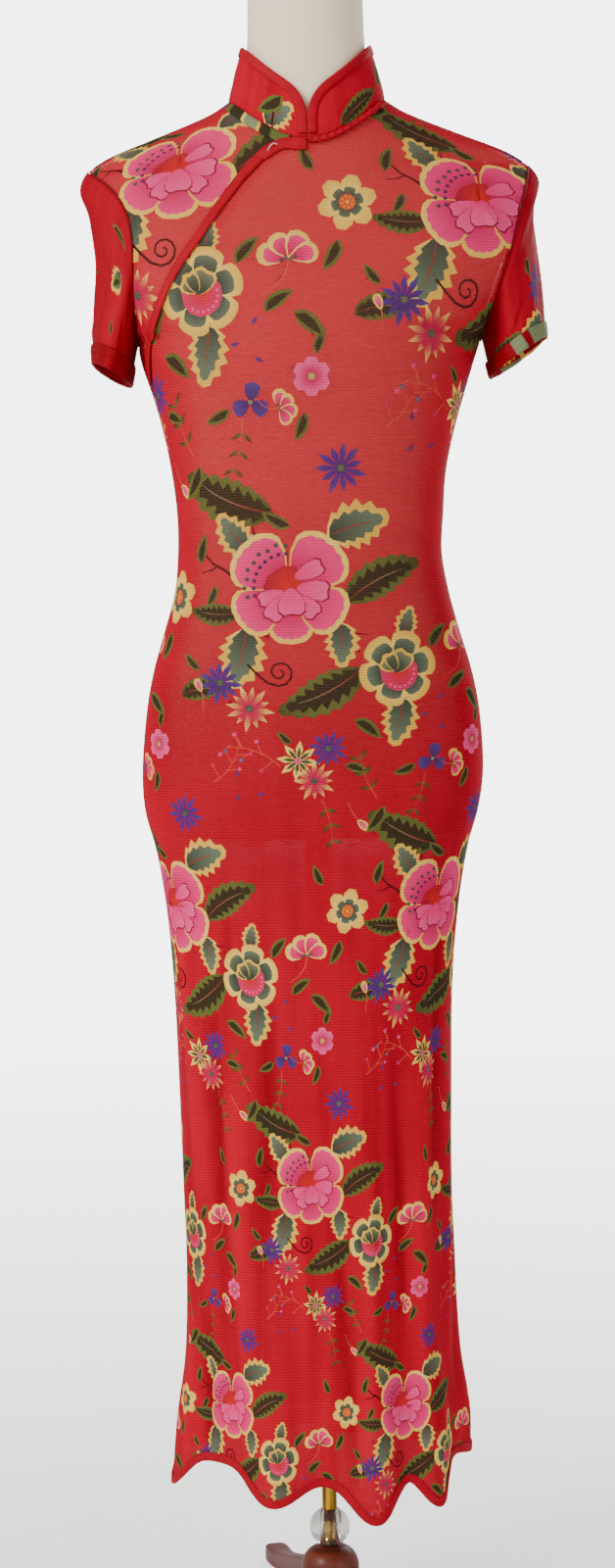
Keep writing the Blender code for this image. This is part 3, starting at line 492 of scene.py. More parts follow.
    def berrySprig(self):
        self.add(strokeOutline([(0, 0), (8, 18), (10, 38), (6, 56)], 1.0, 0.5), "stem")
        for k in range(5):
            at = (k + 0.8) / 5
            x, y = 10 * math.sin(2 * at), 56 * at
            side = 1 if k % 2 else -1
            tip = (x + side * 13, y + 9)
            self.add(strokeOutline([(x, y), tip], 0.9, 0.6), "stem")
            near, far = (("berry", "deepPink"), ("rose", "berry"), ("greyGreen", "blue"))[k % 3]
            self.dot(*tip, 2.7, near, far, 5)

    def bud(self):
        self.add(petalOutline(20, 11, 0.2, count=8), "cream", "butter")
        self.add(petalOutline(14, 7, 0.3, count=7, base=2), "berry", "rose", reach=(2, 15))
        self.add(strokeOutline([(0, 1), (-3, -12), (-9, -25)], 1.1, 0.7), "stem")

    def petals(self):
        for x, y, turn in ((0, 0, 20), (24, 16, 60), (-6, 30, -20)):
            leaf = np.array([(-0.4, 0.5), (-2.4, 5), (0, 10.5), (2.4, 5), (0.4, 0.5)])
            self.add(turned(leaf, turn, x, y), "blue", "stamen", (x, y), (2, 10))


# the knit hangs slack below the hips: the print is full size where it is stretched over the form
printSettings = {
    "columnGap": 0.190, "drop": 0.370, "repeat": 0.740, "start": (-0.026, 1.012), "gridStep": 0.0074,
    "slack": ((0.10, 0.46, 0.52), (0.35, 0.49, 0.56), (0.58, 0.60, 0.72), (0.87, 0.86, 0.80),
              (1.05, 0.98, 0.95), (1.20, 1.0, 1.0), (1.70, 1.0, 1.0)),
}
# one repeat: shape, across and up in mm from the peony, turn in degrees clockwise, size
printRepeat = [
    ("twig", 30, 34, 30, 1.0), ("twig", 44, -30, 122, 1.0), ("twig", -34, -32, -150, 0.8),
    ("twig", -52, 12, -74, 1.0), ("twig", -24, 36, -38, 0.8),
    ("darkLeaf", -12, 76, -82, 0.92), ("darkLeaf", 56, -14, 46, 0.80), ("darkLeaf", 74, -84, 226, 0.92),
    ("darkLeaf", -50, -22, 258, 0.50), ("tealLeaf", -44, -38, 186, 0.92), ("tealLeaf", 38, 52, 62, 0.86),
    ("tealLeaf", -36, 38, -48, 0.66), ("tealLeaf", 50, -34, 168, 0.66), ("tealLeaf", 118, -116, 178, 0.78),
    ("tealFlower", 112, -86, 6, 0.94), ("smallLeaf", 146, -62, 30, 1.1),
    ("scroll", -12, -88, 8, 1.0), ("peony", 0, 0, 2, 1.0),
    ("smallLeaf", -92, 28, 4, 1.0), ("smallLeaf", -74, 6, 196, 0.8), ("smallLeaf", 4, 62, -72, 1.0),
    ("darkLeaf", -124, -112, 66, 0.55), ("daisy", -76, -98, 0, 1.1), ("pinkDaisy", -46, -128, 12, 1.15),
    ("smallLeaf", -98, -84, -50, 0.8), ("daisy", 52, 118, 8, 1.1),
    ("berrySprig", -16, -196, -74, 1.1), ("creamDaisy", 4, -190, 0, 1.1), ("daisy", 38, -176, 20, 1.0),
    ("pinkDaisy", 22, -214, 30, 1.05), ("smallLeaf", 56, -196, 96, 0.9), ("smallLeaf", -2, -170, -56, 0.7),
    ("leafSprig", 30, -236, 150, 0.9), ("petals", -70, -236, 20, 0.9), ("smallLeaf", 66, -142, 116, 1.2),
    ("bud", 72, -262, 132, 0.95), ("pansy", 158, -190, 10, 1.1), ("orchid", 186, -196, 70, 0.62),
    ("smallLeaf", 138, -196, 236, 0.9), ("leafSprig", 150, -206, 176, 0.8),
    ("smallLeaf", 104, -246, 202, 1.2),
    ("blossom", 26, 202, 0, 1.15), ("smallLeaf", 30, 222, 12, 0.8), ("smallLeaf", 20, 170, 190, 0.9),
    ("berrySprig", 96, 156, 30, 1.0), ("leafSprig", -96, 134, -40, 0.9),
    ("orchid", 6, 312, -6, 1.05), ("smallLeaf", 10, 262, 120, 1.25), ("smallLeaf", -18, 262, 44, 1.1),
    ("star", 62, 366, 8, 1.0), ("smallLeaf", 54, 330, 196, 1.1),
    ("petals", -50, 232, 60, 0.9), ("bud", 92, 262, -20, 0.85), ("smallLeaf", 30, 398, -34, 0.9),
]


def slackTable():
    # where the stretched print's heights lie on the slack cloth, and how narrow it is there
    table = np.array(printSettings["slack"])
    up = np.linspace(0.05, 1.75, 341)
    across = smoothCurve(table[:, 0], table[:, 1], up)
    rate = smoothCurve(table[:, 0], table[:, 2], up)
    height = np.concatenate([[0], np.cumsum((up[1] - up[0]) * 2 / (rate[1:] + rate[:-1]))])
    height = height + printSettings["start"][1] - np.interp(printSettings["start"][1], up, height)
    return up, across, height


slackUp, slackAcross, slackHeight = slackTable()


def slacken(points):
    up = np.interp(points[:, 1], slackHeight, slackUp)
    return np.stack([points[:, 0] * np.interp(up, slackUp, slackAcross), up], -1)


def drawMotif(design, name, x, y, turn, size):
    design.spot = (x, y, turn, size)
    getattr(design, name)()


def printDesign(low, high, start=None):
    # the repeat laid out in half-drop columns over a stretch of flat cloth
    design = Print()
    left, bottom = start or printSettings["start"]
    gap, drop = printSettings["columnGap"], printSettings["drop"]
    for name, x, y, turn, size in printRepeat:
        for column in range(-4, 5):
            for row in range(-3, 4):
                across = left + column * gap + x / 1000
                up = bottom + row * printSettings["repeat"] + (column % 2) * drop + y / 1000
                spot = slacken(np.array([[across, up]]))[0]
                if (spot > low - 0.11).all() and (spot < high + 0.11).all():
                    drawMotif(design, name, across * 1000, up * 1000, turn, size)
    shapes = []
    for outline, near, far, middle, reach in design.shapes:
        spot = slacken(np.array([middle, middle + (0, 0.01)]))
        scale = (spot[1, 1] - spot[0, 1]) / 0.01
        shapes.append((slacken(outline), near, far, spot[0], reach * scale))
    design.shapes = shapes
    return design


# Shader maths as Python expressions on sockets
class Value:
    def __init__(self, shader, socket):
        self.shader = shader
        self.socket = socket

    def math(self, operation, *others):
        return self.shader.add("Math", {"operation": operation}, dict(enumerate((self,) + others)))

    def __add__(self, other):
        return self.math("ADD", other)

    def __sub__(self, other):
        return self.math("SUBTRACT", other)

    def __mul__(self, other):
        return self.math("MULTIPLY", other)

    def __truediv__(self, other):
        return self.math("DIVIDE", other)

    def __radd__(self, other):
        return self + other

    def __rmul__(self, other):
        return self * other

    def __rsub__(self, other):
        return self.shader.add("Math", {"operation": "SUBTRACT"}, {0: other, 1: self})

    def output(self, name):
        # another output of the same node
        return Value(self.shader, self.socket.node.outputs[name])

    def clamp(self, low=0.0, high=1.0):
        return self.shader.add("Clamp", {}, {"Value": self, "Min": low, "Max": high})


class Finish:
    # a material with one Principled shader; add makes any other node
    def __init__(self, name, roughness=0.6, **fixed):
        self.material = bpy.data.materials.new(name)
        self.material.use_nodes = True
        self.tree = self.material.node_tree
        self.shader = self.tree.nodes["Principled BSDF"]
        self.feed("Roughness", roughness)
        for socket, value in fixed.items():
            self.shader.inputs[socket.replace("_", " ")].default_value = value

    def add(self, kind, settings=None, values=None, out=0):
        node = self.tree.nodes.new("ShaderNode" + kind)
        for name, value in (settings or {}).items():
            setattr(node, name, value)
        for name, value in (values or {}).items():
            if isinstance(value, Value):
                self.tree.links.new(value.socket, node.inputs[name])
            else:
                node.inputs[name].default_value = value
        return Value(self, node.outputs[out])

    def feed(self, socket, value):
        if isinstance(value, Value):
            self.tree.links.new(value.socket, self.shader.inputs[socket])
        else:
            self.shader.inputs[socket].default_value = value

    def mix(self, factor, first, second):
        def colour(c):
            return c if isinstance(c, Value) else (*c, 1)
        # inputs 6 and 7 and output 2 are the node's colour sockets
        return self.add("Mix", {"data_type": "RGBA"}, {0: factor, 6: colour(first), 7: colour(second)}, 2)

    def noise(self, coordinate, scale, detail=2.0, rough=0.5):
        return self.add("TexNoise", {}, {"Vector": coordinate, "Scale": scale, "Detail": detail,
                                         "Roughness": rough})

    def stretched(self, coordinate, scale, turn=0.0):
        return self.add("Mapping", {}, {"Vector": coordinate, "Scale": scale, "Rotation": (0, 0, turn)})

    def objectPlace(self):
        return self.add("TexCoord", {}, {}, "Object")

    def clothPlace(self):
        return self.add("UVMap", {"uv_map": "cloth"})

    def bump(self, height, distance, strength=1.0):
        self.feed("Normal", self.add("Bump", {}, {"Height": height, "Distance": distance,
                                                  "Strength": strength}))


def wave(coordinate, pitch):
    # a smooth 0 to 1 wave along a coordinate in metres
    return (coordinate * (2 * math.pi / pitch)).math("SINE") * 0.5 + 0.5


meshLook = {
    "ground": paint(198, 0, 40), "groundDeep": paint(166, 0, 30), "ribPitch": 0.0026,
    "threadPitch": 0.0022, "stretched": 0.62, "slack": 0.90, "slackFrom": (0.66, 0.94), "inkMore": 0.10,
    "edgeOn": 0.98, "edgeOnFrom": 0.78, "tightFrom": 0.90, "hemFrom": 0.25, "hemMore": 0.07,
}


def meshCloth(name="redMesh", deeper=0.0, slack=meshLook["slack"]):
    # sheer ribbed stretch mesh: printed inks over a red ground
    f = Finish(name, 0.78, Specular_IOR_Level=0.08)
    flat = f.clothPlace()
    parts = f.add("SeparateXYZ", {}, {0: flat})
    across, up = parts.output(0), parts.output(1)
    ink = f.add("VertexColor", {"layer_name": "print"})
    cover = ink.output("Alpha")
    # the form stretches the knit above the hips, where it lets more light through
    low, high = meshLook["slackFrom"]
    stretch = ((up - low) / (high - low)).clamp()
    wander = (f.noise(flat, 22, 3) - 0.5) * 0.0016
    rib = wave(up + wander, meshLook["ribPitch"])
    thread = wave(across + wander, meshLook["threadPitch"])
    weave = rib * 0.72 + thread * 0.28
    blotch = f.noise(flat, 9, 4)
    ground = f.mix(blotch, meshLook["ground"], meshLook["groundDeep"])
    ground = f.mix(deeper, ground, paint(112, 0, 14))
    ground = f.mix((0.62 - weave) * 0.36, ground, paint(120, 0, 12))
    # where the cloth turns away to the sides and shoulders it hangs clear of the form, and is denser
    normal = f.add("SeparateXYZ", {}, {0: f.add("NewGeometry", {}, {}, "Normal")}, 1)
    edgeOn = ((meshLook["edgeOnFrom"] - f.add("Math", {"operation": "ABSOLUTE"}, {0: normal})) * 2.4).clamp()
    # pulled tight over the pale form the knit opens and looks paler
    tight = ((up - meshLook["tightFrom"]) * 4.0).clamp() * (1.0 - edgeOn)
    ground = f.mix(tight * (0.16 + blotch * 0.22), ground, paint(244, 72, 78))
    # painted shade and light: the troughs of the folds are painted darker and the ridges lighter, and the
    # slack skirt gets lengthwise bands of painted shade and light
    fold = f.add("Attribute", {"attribute_name": "fold"}).output("Fac")
    paintedShadingStreak = (f.noise(f.stretched(flat, (46, 3.2, 1)), 1.0, 3, 0.55) - 0.5) * (1.0 - stretch)
    shade = ((0.5 - fold) * 1.1 + paintedShadingStreak * 1.7).clamp(0.0, 0.75)
    ground = f.mix(shade, ground, paint(104, 0, 8))
    # painted light on the fold ridges and in the lighter bands
    ground = f.mix(((fold - 0.5) * 0.7 - paintedShadingStreak * 0.6).clamp(0.0, 0.5), ground, paint(232, 6, 48))
    brush = f.noise(f.stretched(flat, (900, 260, 1), 0.5), 1.0, 3, 0.6)
    inked = f.mix((brush - 0.42) * 0.9, ink, f.mix(0.6, ink, paint(52, 34, 36)))
    inked = f.mix((0.6 - weave) * 0.22, inked, paint(96, 14, 20))
    f.feed("Base Color", f.mix(cover * 0.94, ground, inked))
    opacity = slack - stretch * (slack - meshLook["stretched"])
    hem = ((meshLook["hemFrom"] - up) * 18).clamp(0.0, meshLook["hemMore"])
    opacity = opacity + cover * meshLook["inkMore"] + hem
    opacity = opacity + edgeOn * (meshLook["edgeOn"] - opacity)
    f.feed("Alpha", (opacity + (weave - 0.5) * 0.22).clamp())
    f.feed("Roughness", 0.70 + blotch * 0.16)
    f.bump(weave + brush * 0.3, 0.00025, 0.6)
    return f.material


def bindingCloth(name="crimsonBinding", light=paint(186, 0, 34), dark=paint(150, 0, 26)):
    # dense folded jersey with fine ribs across it
    f = Finish(name, 0.6, Specular_IOR_Level=0.1)
    flat = f.clothPlace()
    along = f.add("SeparateXYZ", {}, {0: flat})
    knit = wave(along + (f.noise(flat, 60, 2) - 0.5) * 0.0008, 0.0011)
    blotch = f.noise(f.objectPlace(), 70, 4)
    colour = f.mix(blotch, light, dark)
    f.feed("Base Color", f.mix(knit * 0.22, colour, dark * 0.5))
    f.feed("Roughness", 0.52 + blotch * 0.2)
    f.bump(knit * 0.5 + blotch, 0.0003, 0.5)
    return f.material


finishes = {"mesh": meshCloth(), "sleeveMesh": meshCloth("sleeveMesh", 0.35, 0.96),
            "binding": bindingCloth(),
            "seam": bindingCloth("seamFold", paint(136, 0, 16), paint(104, 0, 12)),
            "thread": bindingCloth("sewingThread", paint(206, 16, 44), paint(160, 0, 26)),
            "whiteThread": bindingCloth("whiteThread", paint(238, 234, 226), paint(206, 198, 186))}
print("cloth finishes ready")


def selectOnly(piece):
    bpy.ops.object.select_all(action="DESELECT")
    piece.select_set(True)
    bpy.context.view_layer.objects.active = piece


def applyModifier(piece, kind, **settings):
    selectOnly(piece)
    modifier = piece.modifiers.new(kind.title(), kind)
    for name, value in settings.items():
        setattr(modifier, name, value)
    bpy.ops.object.modifier_apply(modifier=modifier.name)


def meshPiece(name, points, faces, finish, replaces=()):
    data = bpy.data.meshes.new(name)
    data.from_pydata([tuple(p) for p in points], [], faces)
    data.materials.append(finishes[finish])
    piece = bpy.data.objects.new(name, data)
    bpy.context.scene.collection.objects.link(piece)
    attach(piece, "root")
    if replaces:
        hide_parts(*replaces)
    return piece


def creaseLift(flat, creases):
    # soft troughs and ridges: each runs from one flat point to another, in mm
    lift = np.zeros(len(flat))
    for x0, y0, x1, y1, width, depth in creases:
        start, run = np.array([x0, y0]) / 1000, np.array([x1 - x0, y1 - y0]) / 1000
        t = np.clip((flat - start) @ run / (run @ run), 0, 1)
        distance = np.linalg.norm(flat - (start + t[:, None] * run), axis=1) * 1000
        lift += depth / 1000 * np.sin(math.pi * (t * 0.9 + 0.05)) ** 0.7 * np.exp(-(distance / width) ** 2)
    # no trough is pressed into the form under the cloth
    return np.where(flat[:, 1] > body["formBottom"] - 0.02, np.maximum(lift, -0.0002), lift)


def printedCloth(name, place, outline, design, replaces=(), creases=(),
                 step=printSettings["gridStep"], thickness=0.0005, finish="mesh"):
    # a flat panel cut to its outline with the print's edges in it, laid on the dress's surface
    low, high = outline.min(0), outline.max(0)
    points, faces, looks, room = [], [], [None], []

    def outlineFace(loop):
        x, y = loop[:, 0], loop[:, 1]
        room.append(np.prod(loop.max(0) - loop.min(0)))
        if np.sum(x * np.roll(y, -1) - y * np.roll(x, -1)) < 0:
            loop = loop[::-1]
        faces.append(list(range(len(points), len(points) + len(loop))))
        points.extend(Vector(p) for p in loop)

    outlineFace(outline)
    for shape in design.shapes:
        if (shape[0].min(0) < high).all() and (shape[0].max(0) > low).all():
            outlineFace(shape[0])
            looks.append(shape[1:])
    for row, y in enumerate(np.arange(low[1] + step / 2, high[1], step * 0.87)):
        points.extend(Vector((x, y)) for x in np.arange(low[0] + step * (row % 2) / 2, high[0], step))
    spots, _, triangles, _, _, sources = delaunay_2d_cdt(points, [], faces, 0, 1e-5)
    flat = np.array([tuple(p) for p in spots])
    corners = np.array(triangles)
    first, second = flat[corners[:, 1]] - flat[corners[:, 0]], flat[corners[:, 2]] - flat[corners[:, 0]]
    size = np.abs(first[:, 0] * second[:, 1] - first[:, 1] * second[:, 0]) / 2
    filled = np.zeros(len(faces))
    for triangle, shapes in zip(size, sources):
        filled[list(shapes)] += triangle
    # a shape that shares a corner with its neighbour can spill over the whole cloth, and is left out
    sound = filled < np.array(room) * 1.05
    inside = np.array([0 in shapes for shapes in sources])
    top = np.array([max([k for k in shapes if sound[k]], default=0) for shapes in sources])[inside]
    corners = corners[inside]
    print(name, "shapes", len(faces), "left out", int(np.sum(~sound[1:])))
    used, corners = np.unique(corners, return_inverse=True)
    corners = corners.reshape(-1, 3)
    flat = flat[used]
    solid = place(flat)
    corner = solid[corners]
    cross = np.cross(corner[:, 1] - corner[:, 0], corner[:, 2] - corner[:, 0])
    normals = np.zeros_like(solid)
    for k in range(3):
        np.add.at(normals, corners[:, k], cross)
    normals /= np.linalg.norm(normals, axis=1)[:, None] + 1e-12
    lift = creaseLift(flat, creases)
    solid = solid + normals * lift[:, None]
    piece = meshPiece(name, solid, corners.tolist(), finish, replaces)
    # the crease lift, kept for the mesh finish, which paints shade into the troughs and light onto the
    # ridges
    fold = piece.data.attributes.new("fold", "FLOAT", "POINT")
    fold.data.foreach_set("value", np.clip(0.5 + lift / 0.009, 0, 1).astype(np.float32))
    colours = np.zeros((len(corners), 3, 4))
    for index in np.unique(top):
        if index:
            near, far, centre, (start, end) = looks[index]
            here = top == index
            distance = np.linalg.norm(flat[corners[here]] - centre, axis=2)
            blend = np.clip((distance - start) / max(end - start, 1e-6), 0, 1)[..., None]
            colours[here, :, :3] = near * (1 - blend) + far * blend
            colours[here, :, 3] = 1
    layer = piece.data.color_attributes.new("print", "FLOAT_COLOR", "CORNER")
    layer.data.foreach_set("color", colours.ravel().astype(np.float32))
    cloth = piece.data.uv_layers.new(name="cloth")
    cloth.uv.foreach_set("vector", flat[corners].ravel().astype(np.float32))
    applyModifier(piece, "SOLIDIFY", thickness=thickness, offset=0)
    piece.data.shade_smooth()
    area = np.linalg.norm(cross, axis=1).sum() / 2
    print(name, "triangles", len(piece.data.polygons), "area", round(area, 4))
    return piece


def edgeLine(panel, angles, heights):
    return panel.flat(np.asarray(angles, float), np.asarray(heights, float))


def panelOutlines():
    # cut edges of the front, the yoke over the diagonal opening, and the back
    gap, edge = 0.0003, 70
    across = np.linspace(-90, 90, 2 * edge + 1)
    tipRows = np.linspace(0, 1, 60)[1:-1]
    hem = edgeLine(frontPanel, across, hemHeight(across))
    tip = body["shoulderTip"]
    sideRows = np.linspace(0, 1, 240)[1:-1]
    leftSide = edgeLine(frontPanel, 90, hemHeight(90) + (tip - hemHeight(90)) * sideRows)
    share = np.linspace(1, -0.02, 90)
    top = edgeLine(frontPanel, angleAt(share), topEdge(share, -1))
    slant = np.linspace(-0.02, -1, 70)
    lower = edgeLine(frontPanel, angleAt(slant), np.minimum(openingHeight(slant), topEdge(slant, -1)) - gap)
    rightSide = edgeLine(frontPanel, -90, openingHeight(-1) - gap
                         + (hemHeight(-90) - openingHeight(-1)) * np.linspace(0, 1, 180)[1:-1])
    front = np.concatenate([hem, leftSide, top, lower, rightSide])
    upper = edgeLine(frontPanel, angleAt(slant),
                     np.minimum(openingHeight(slant) + gap, topEdge(slant, -1) - 0.002))
    armhole = edgeLine(frontPanel, -90, openingHeight(-1) + (tip - openingHeight(-1)) * tipRows)
    yokeTop = edgeLine(frontPanel, angleAt(-share[::-1]), topEdge(share[::-1], -1))[4:][::-1]
    yoke = np.concatenate([upper, armhole, yokeTop])
    behind = across + 180
    backHem = edgeLine(backPanel, behind, hemHeight(behind))
    nearSide = edgeLine(backPanel, 270, hemHeight(270) + (tip - hemHeight(270)) * sideRows)
    backShare = np.linspace(-1, 1, 161)
    backTop = edgeLine(backPanel, 180 - angleAt(backShare), topEdge(backShare, 1))
    farSide = edgeLine(backPanel, 90, tip + (hemHeight(90) - tip) * sideRows)
    return front, yoke, np.concatenate([backHem, nearSide, backTop, farSide])


# across, up, across, up, half width and height in mm; below zero is a trough
frontCreases = [
    (18, 1196, 128, 1212, 5, -1.8), (30, 1186, 112, 1203, 6, 1.6), (-120, 1204, -40, 1190, 6, -1.1),
    (120, 1290, 176, 1262, 8, 2), (128, 1262, 176, 1240, 6, -1.6), (-170, 1240, -118, 1212, 6, 1.6),
    (150, 1390, 196, 1330, 7, 2.2), (142, 1360, 182, 1300, 6, -1.6), (-150, 1096, -70, 1078, 9, 1.4),
    (70, 1092, 150, 1066, 9, 1.5), (60, 1074, 138, 1050, 6, -1.2), (-140, 1058, -52, 1049, 7, -1.2),
    (-60, 1040, 44, 1044, 8, 1), (-160, 936, -96, 960, 9, 1.2), (96, 948, 166, 922, 10, 1.4),
    (-150, 720, -128, 430, 8.8, 3.9), (-104, 640, -110, 300, 7.5, -3.6), (-88, 560, -80, 190, 8.8, 3.9),
    (-52, 610, -60, 260, 7.5, -3.3), (-24, 500, -18, 170, 7.5, 3.3), (12, 420, 22, 170, 6.2, -3.6),
    (44, 470, 40, 160, 7.5, 3.9), (66, 640, 78, 330, 7.5, -3), (96, 600, 98, 240, 8.8, 4.2),
    (124, 700, 120, 420, 7.5, -3.3), (146, 560, 142, 260, 7.5, 3.6), (160, 380, 162, 220, 6.2, -3.3),
    (-126, 330, -138, 190, 6.2, -3.9), (-150, 320, -164, 196, 7.5, 4.5), (4, 330, -4, 180, 5, 2.7),
]
yokeCreases = [
    (-196, 1466, -150, 1420, 8, 1.8), (-206, 1440, -166, 1372, 7, -1.4), (-120, 1500, -84, 1452, 8, 1.6),
    (-170, 1330, -140, 1300, 6, 1.6), (-192, 1262, -164, 1258, 5, -1.2), (-90, 1486, -60, 1446, 5, -1.2),
]
backCreases = [
    (-150, 1110, -60, 1088, 9, 1.6), (60, 1086, 150, 1112, 9, 1.6), (-130, 1072, -30, 1060, 7, -1.3),
    (30, 1058, 130, 1074, 7, -1.3), (-150, 1340, -110, 1240, 8, 1.8), (150, 1340, 112, 1240, 8, 1.8),
    (-60, 1050, 60, 1046, 8, 1.1), (-150, 700, -140, 380, 8.8, 3.9), (-110, 640, -118, 280, 8.8, -3.6),
    (-74, 580, -66, 190, 8.8, 4.2), (-34, 660, -40, 300, 7.5, -3.3), (6, 520, 0, 180, 8.8, 3.9),
    (40, 600, 46, 240, 7.5, -3.6), (76, 640, 82, 300, 8.8, 3.9), (112, 560, 108, 200, 7.5, -3.3),
    (148, 640, 150, 300, 8.8, 3.9), (-160, 360, -170, 200, 6.2, -3.6), (166, 420, 160, 210, 7.5, 3),
]
frontOutline, yokeOutline, backOutline = panelOutlines()
frontDesign = printDesign(frontOutline.min(0), frontOutline.max(0))
frontCloth = printedCloth("frontCloth", frontPanel.place, frontOutline, frontDesign,
                          replaces=("front_main",), creases=frontCreases)
yokeDesign = printDesign(yokeOutline.min(0), yokeOutline.max(0), (-0.128, 1.425))
yokeCloth = printedCloth("yokeCloth", frontPanel.place, yokeOutline, yokeDesign,
                         replaces=("front_yoke",), creases=yokeCreases)
backDesign = printDesign(backOutline.min(0), backOutline.max(0), (0.06, 0.93))
backCloth = printedCloth("backCloth", backPanel.place, backOutline, backDesign,
                         replaces=("back",), creases=backCreases)
print("panels of the dress made")

collarShape = {
    "height": 0.050, "lift": 0.0019, "lean": (0.18, 0.055), "cornerDrop": 0.52, "cornerLength": 0.009,
    "start": 0.35, "arc": 0.070,
}


def collarHeight(angle):
    turn = np.minimum(angle, 360 - angle)
    distance = np.radians(turn) * collarShape["arc"]
    drop = collarShape["cornerDrop"] * np.exp(-distance / collarShape["cornerLength"])
    return collarShape["height"] * (1 - drop)


def collarPlace(flat):
    # around the neck from the front opening, and up from the neckline
    turn = flat[:, 0] / collarShape["arc"]
    front = np.cos(turn) > 0
    part = np.abs(np.sin(turn))
    base = np.where(front, necklineHeight(part, -1), necklineHeight(part, 1))
    depth = np.where(front, body["neckDepth"][-1], body["neckDepth"][1])
    lean = np.clip(flat[:, 1] / collarShape["height"], 0, 1.2) ** 1.2
    return np.stack([
        body["neckHalf"] * np.sin(turn) * (1 - collarShape["lean"][0] * lean),
        -depth * np.cos(turn) * (1 - collarShape["lean"][1] * lean),
        base + collarShape["lift"] + flat[:, 1],
    ], -1)


def makeCollar():
    angles = np.linspace(collarShape["start"], 360 - collarShape["start"], 181)
    arc = np.radians(angles) * collarShape["arc"]
    end = np.linspace(0, 1, 8)[1:-1] * collarHeight(angles[0])
    outline = np.concatenate([
        np.stack([arc, np.full(181, -0.0021)], -1), np.stack([np.full(6, arc[-1]), end], -1),
        np.stack([arc, collarHeight(angles)], -1)[::-1], np.stack([np.full(6, arc[0]), end[::-1]], -1),
    ])
    design = Print()
    for motif in (
        ("darkLeaf", 300, 44, 236, 0.40), ("tealLeaf", 400, 0, 34, 0.5), ("smallLeaf", 416, 32, 214, 1.1),
        ("twig", 408, 14, 160, 0.7), ("darkLeaf", 30, 2, 62, 0.42), ("smallLeaf", 84, 12, 30, 1.0),
        ("daisy", 128, 26, 0, 0.8), ("tealLeaf", 190, 4, 70, 0.6), ("orchid", 240, 24, 10, 0.7),
    ):
        drawMotif(design, *motif)
    creases = [(20, 6, 52, 20, 4, -0.6), (58, 4, 90, 24, 5, 0.6), (350, 6, 388, 22, 4, 0.7),
               (300, 30, 340, 12, 5, -0.6), (180, 10, 240, 18, 5, 0.5)]
    return printedCloth("collarCloth", collarPlace, outline, design, replaces=("collar",), creases=creases,
                        step=0.0035)


collarCloth = makeCollar()

sleeveShape = {  # hem centre, half width and half depth, hem heights inside and outside, head, waist
    "right": (0.1915, 0.0180, 0.062, 1.222, 1.234, 0.008, 0.006),
    "left": (0.2000, 0.0270, 0.066, 1.222, 1.254, 0.009, 0.001),
}


def sleevePlace(name, around, share):
    # around is 0 at the underarm and half a turn at the shoulder tip, share runs to the hem
    across, half, depth, innerZ, outerZ, head, waist = sleeveShape[name]
    sign = -1 if name == "right" else 1
    phi = around * 2 * math.pi
    outer = (1 - np.cos(phi)) / 2
    z = body["underarm"] + (body["shoulderTip"] - body["underarm"]) * outer
    start = np.where((np.sin(phi) >= 0)[:, None], bodyPlace(np.full_like(phi, 90 * sign), z, -1),
                     bodyPlace(np.full_like(phi, 90 * sign), z, 1))
    start[:, 0] += sign * (0.0006 + 0.0015 * (1 - outer) ** 6)
    hem = np.stack([sign * (across - half * np.cos(phi)), -depth * np.sin(phi),
                    innerZ + (outerZ - innerZ) * outer], -1)
    point = start + (hem - start) * share[:, None]
    bulge = head * np.exp(-((share - 0.10) / 0.09) ** 2) * np.clip(share / 0.03, 0, 1)
    bulge = bulge - waist * np.exp(-((share - 0.48) / 0.2) ** 2)
    point[:, 0] += sign * bulge * outer ** 2
    return point


sleeveCut = {"right": (0.330, 0.190), "left": (0.340, 0.172)}   # girth and length at the top


def makeSleeve(name, motifs, creases):
    girth, length = sleeveCut[name]
    rows = np.linspace(0, length, 31)
    around = np.linspace(0, girth, 91)
    outline = np.concatenate([
        np.stack([around, np.zeros(91)], -1), np.stack([np.full(29, girth), rows[1:-1]], -1),
        np.stack([around[::-1], np.full(91, length)], -1), np.stack([np.zeros(29), rows[-2:0:-1]], -1),
    ])
    design = Print()
    for motif in motifs:
        drawMotif(design, *motif)
    flip = -1 if name == "right" else 1

    def place(flat):
        share = 1 - np.clip(flat[:, 1] / length, 0, 1)
        around = flat[:, 0] / girth
        return sleevePlace(name, around if flip > 0 else 1 - around, share)

    return printedCloth("sleeveCloth" + name.title(), place, outline, design,
                        replaces=("sleeve_" + name,), creases=creases, step=0.005, finish="sleeveMesh")


sleeveRight = makeSleeve("right", [
    ("tealLeaf", 232, 120, 200, 0.5), ("smallLeaf", 216, 92, 30, 0.8), ("smallLeaf", 238, 40, -30, 0.7),
    ("leafSprig", 150, 60, 20, 0.7), ("darkLeaf", 60, 60, 20, 0.6), ("daisy", 100, 110, 0, 0.9),
    ("orchid", 110, 40, 30, 0.8), ("twig", 40, 120, 40, 0.8), ("smallLeaf", 214, 160, 60, 0.9),
], [(236, 60, 250, 150, 7, 2.0), (206, 40, 196, 130, 8, -1.8), (176, 60, 170, 150, 7, 1.6),
    (260, 100, 268, 30, 6, -1.6), (150, 20, 186, 40, 6, 1.4), (110, 60, 104, 140, 7, 1.8)])
sleeveLeft = makeSleeve("left", [
    ("daisy", 128, 62, 0, 1.15), ("tealLeaf", 140, 20, 250, 0.9), ("smallLeaf", 150, 92, 40, 1.0),
    ("darkLeaf", 96, 4, -70, 0.7), ("pinkDaisy", 222, 88, 0, 0.9), ("tealLeaf", 236, 30, 100, 0.8),
    ("darkLeaf", 270, 130, 200, 0.7), ("orchid", 190, 130, 0, 0.8), ("smallLeaf", 104, 110, 160, 0.9),
], [(112, 20, 104, 120, 8, 2.4), (140, 10, 146, 80, 7, -2.0), (170, 14, 172, 110, 8, 2.2),
    (90, 60, 60, 20, 7, -2.0), (206, 30, 214, 130, 7, 1.8), (128, 110, 150, 140, 6, 1.6)])
print("collar and sleeves made")


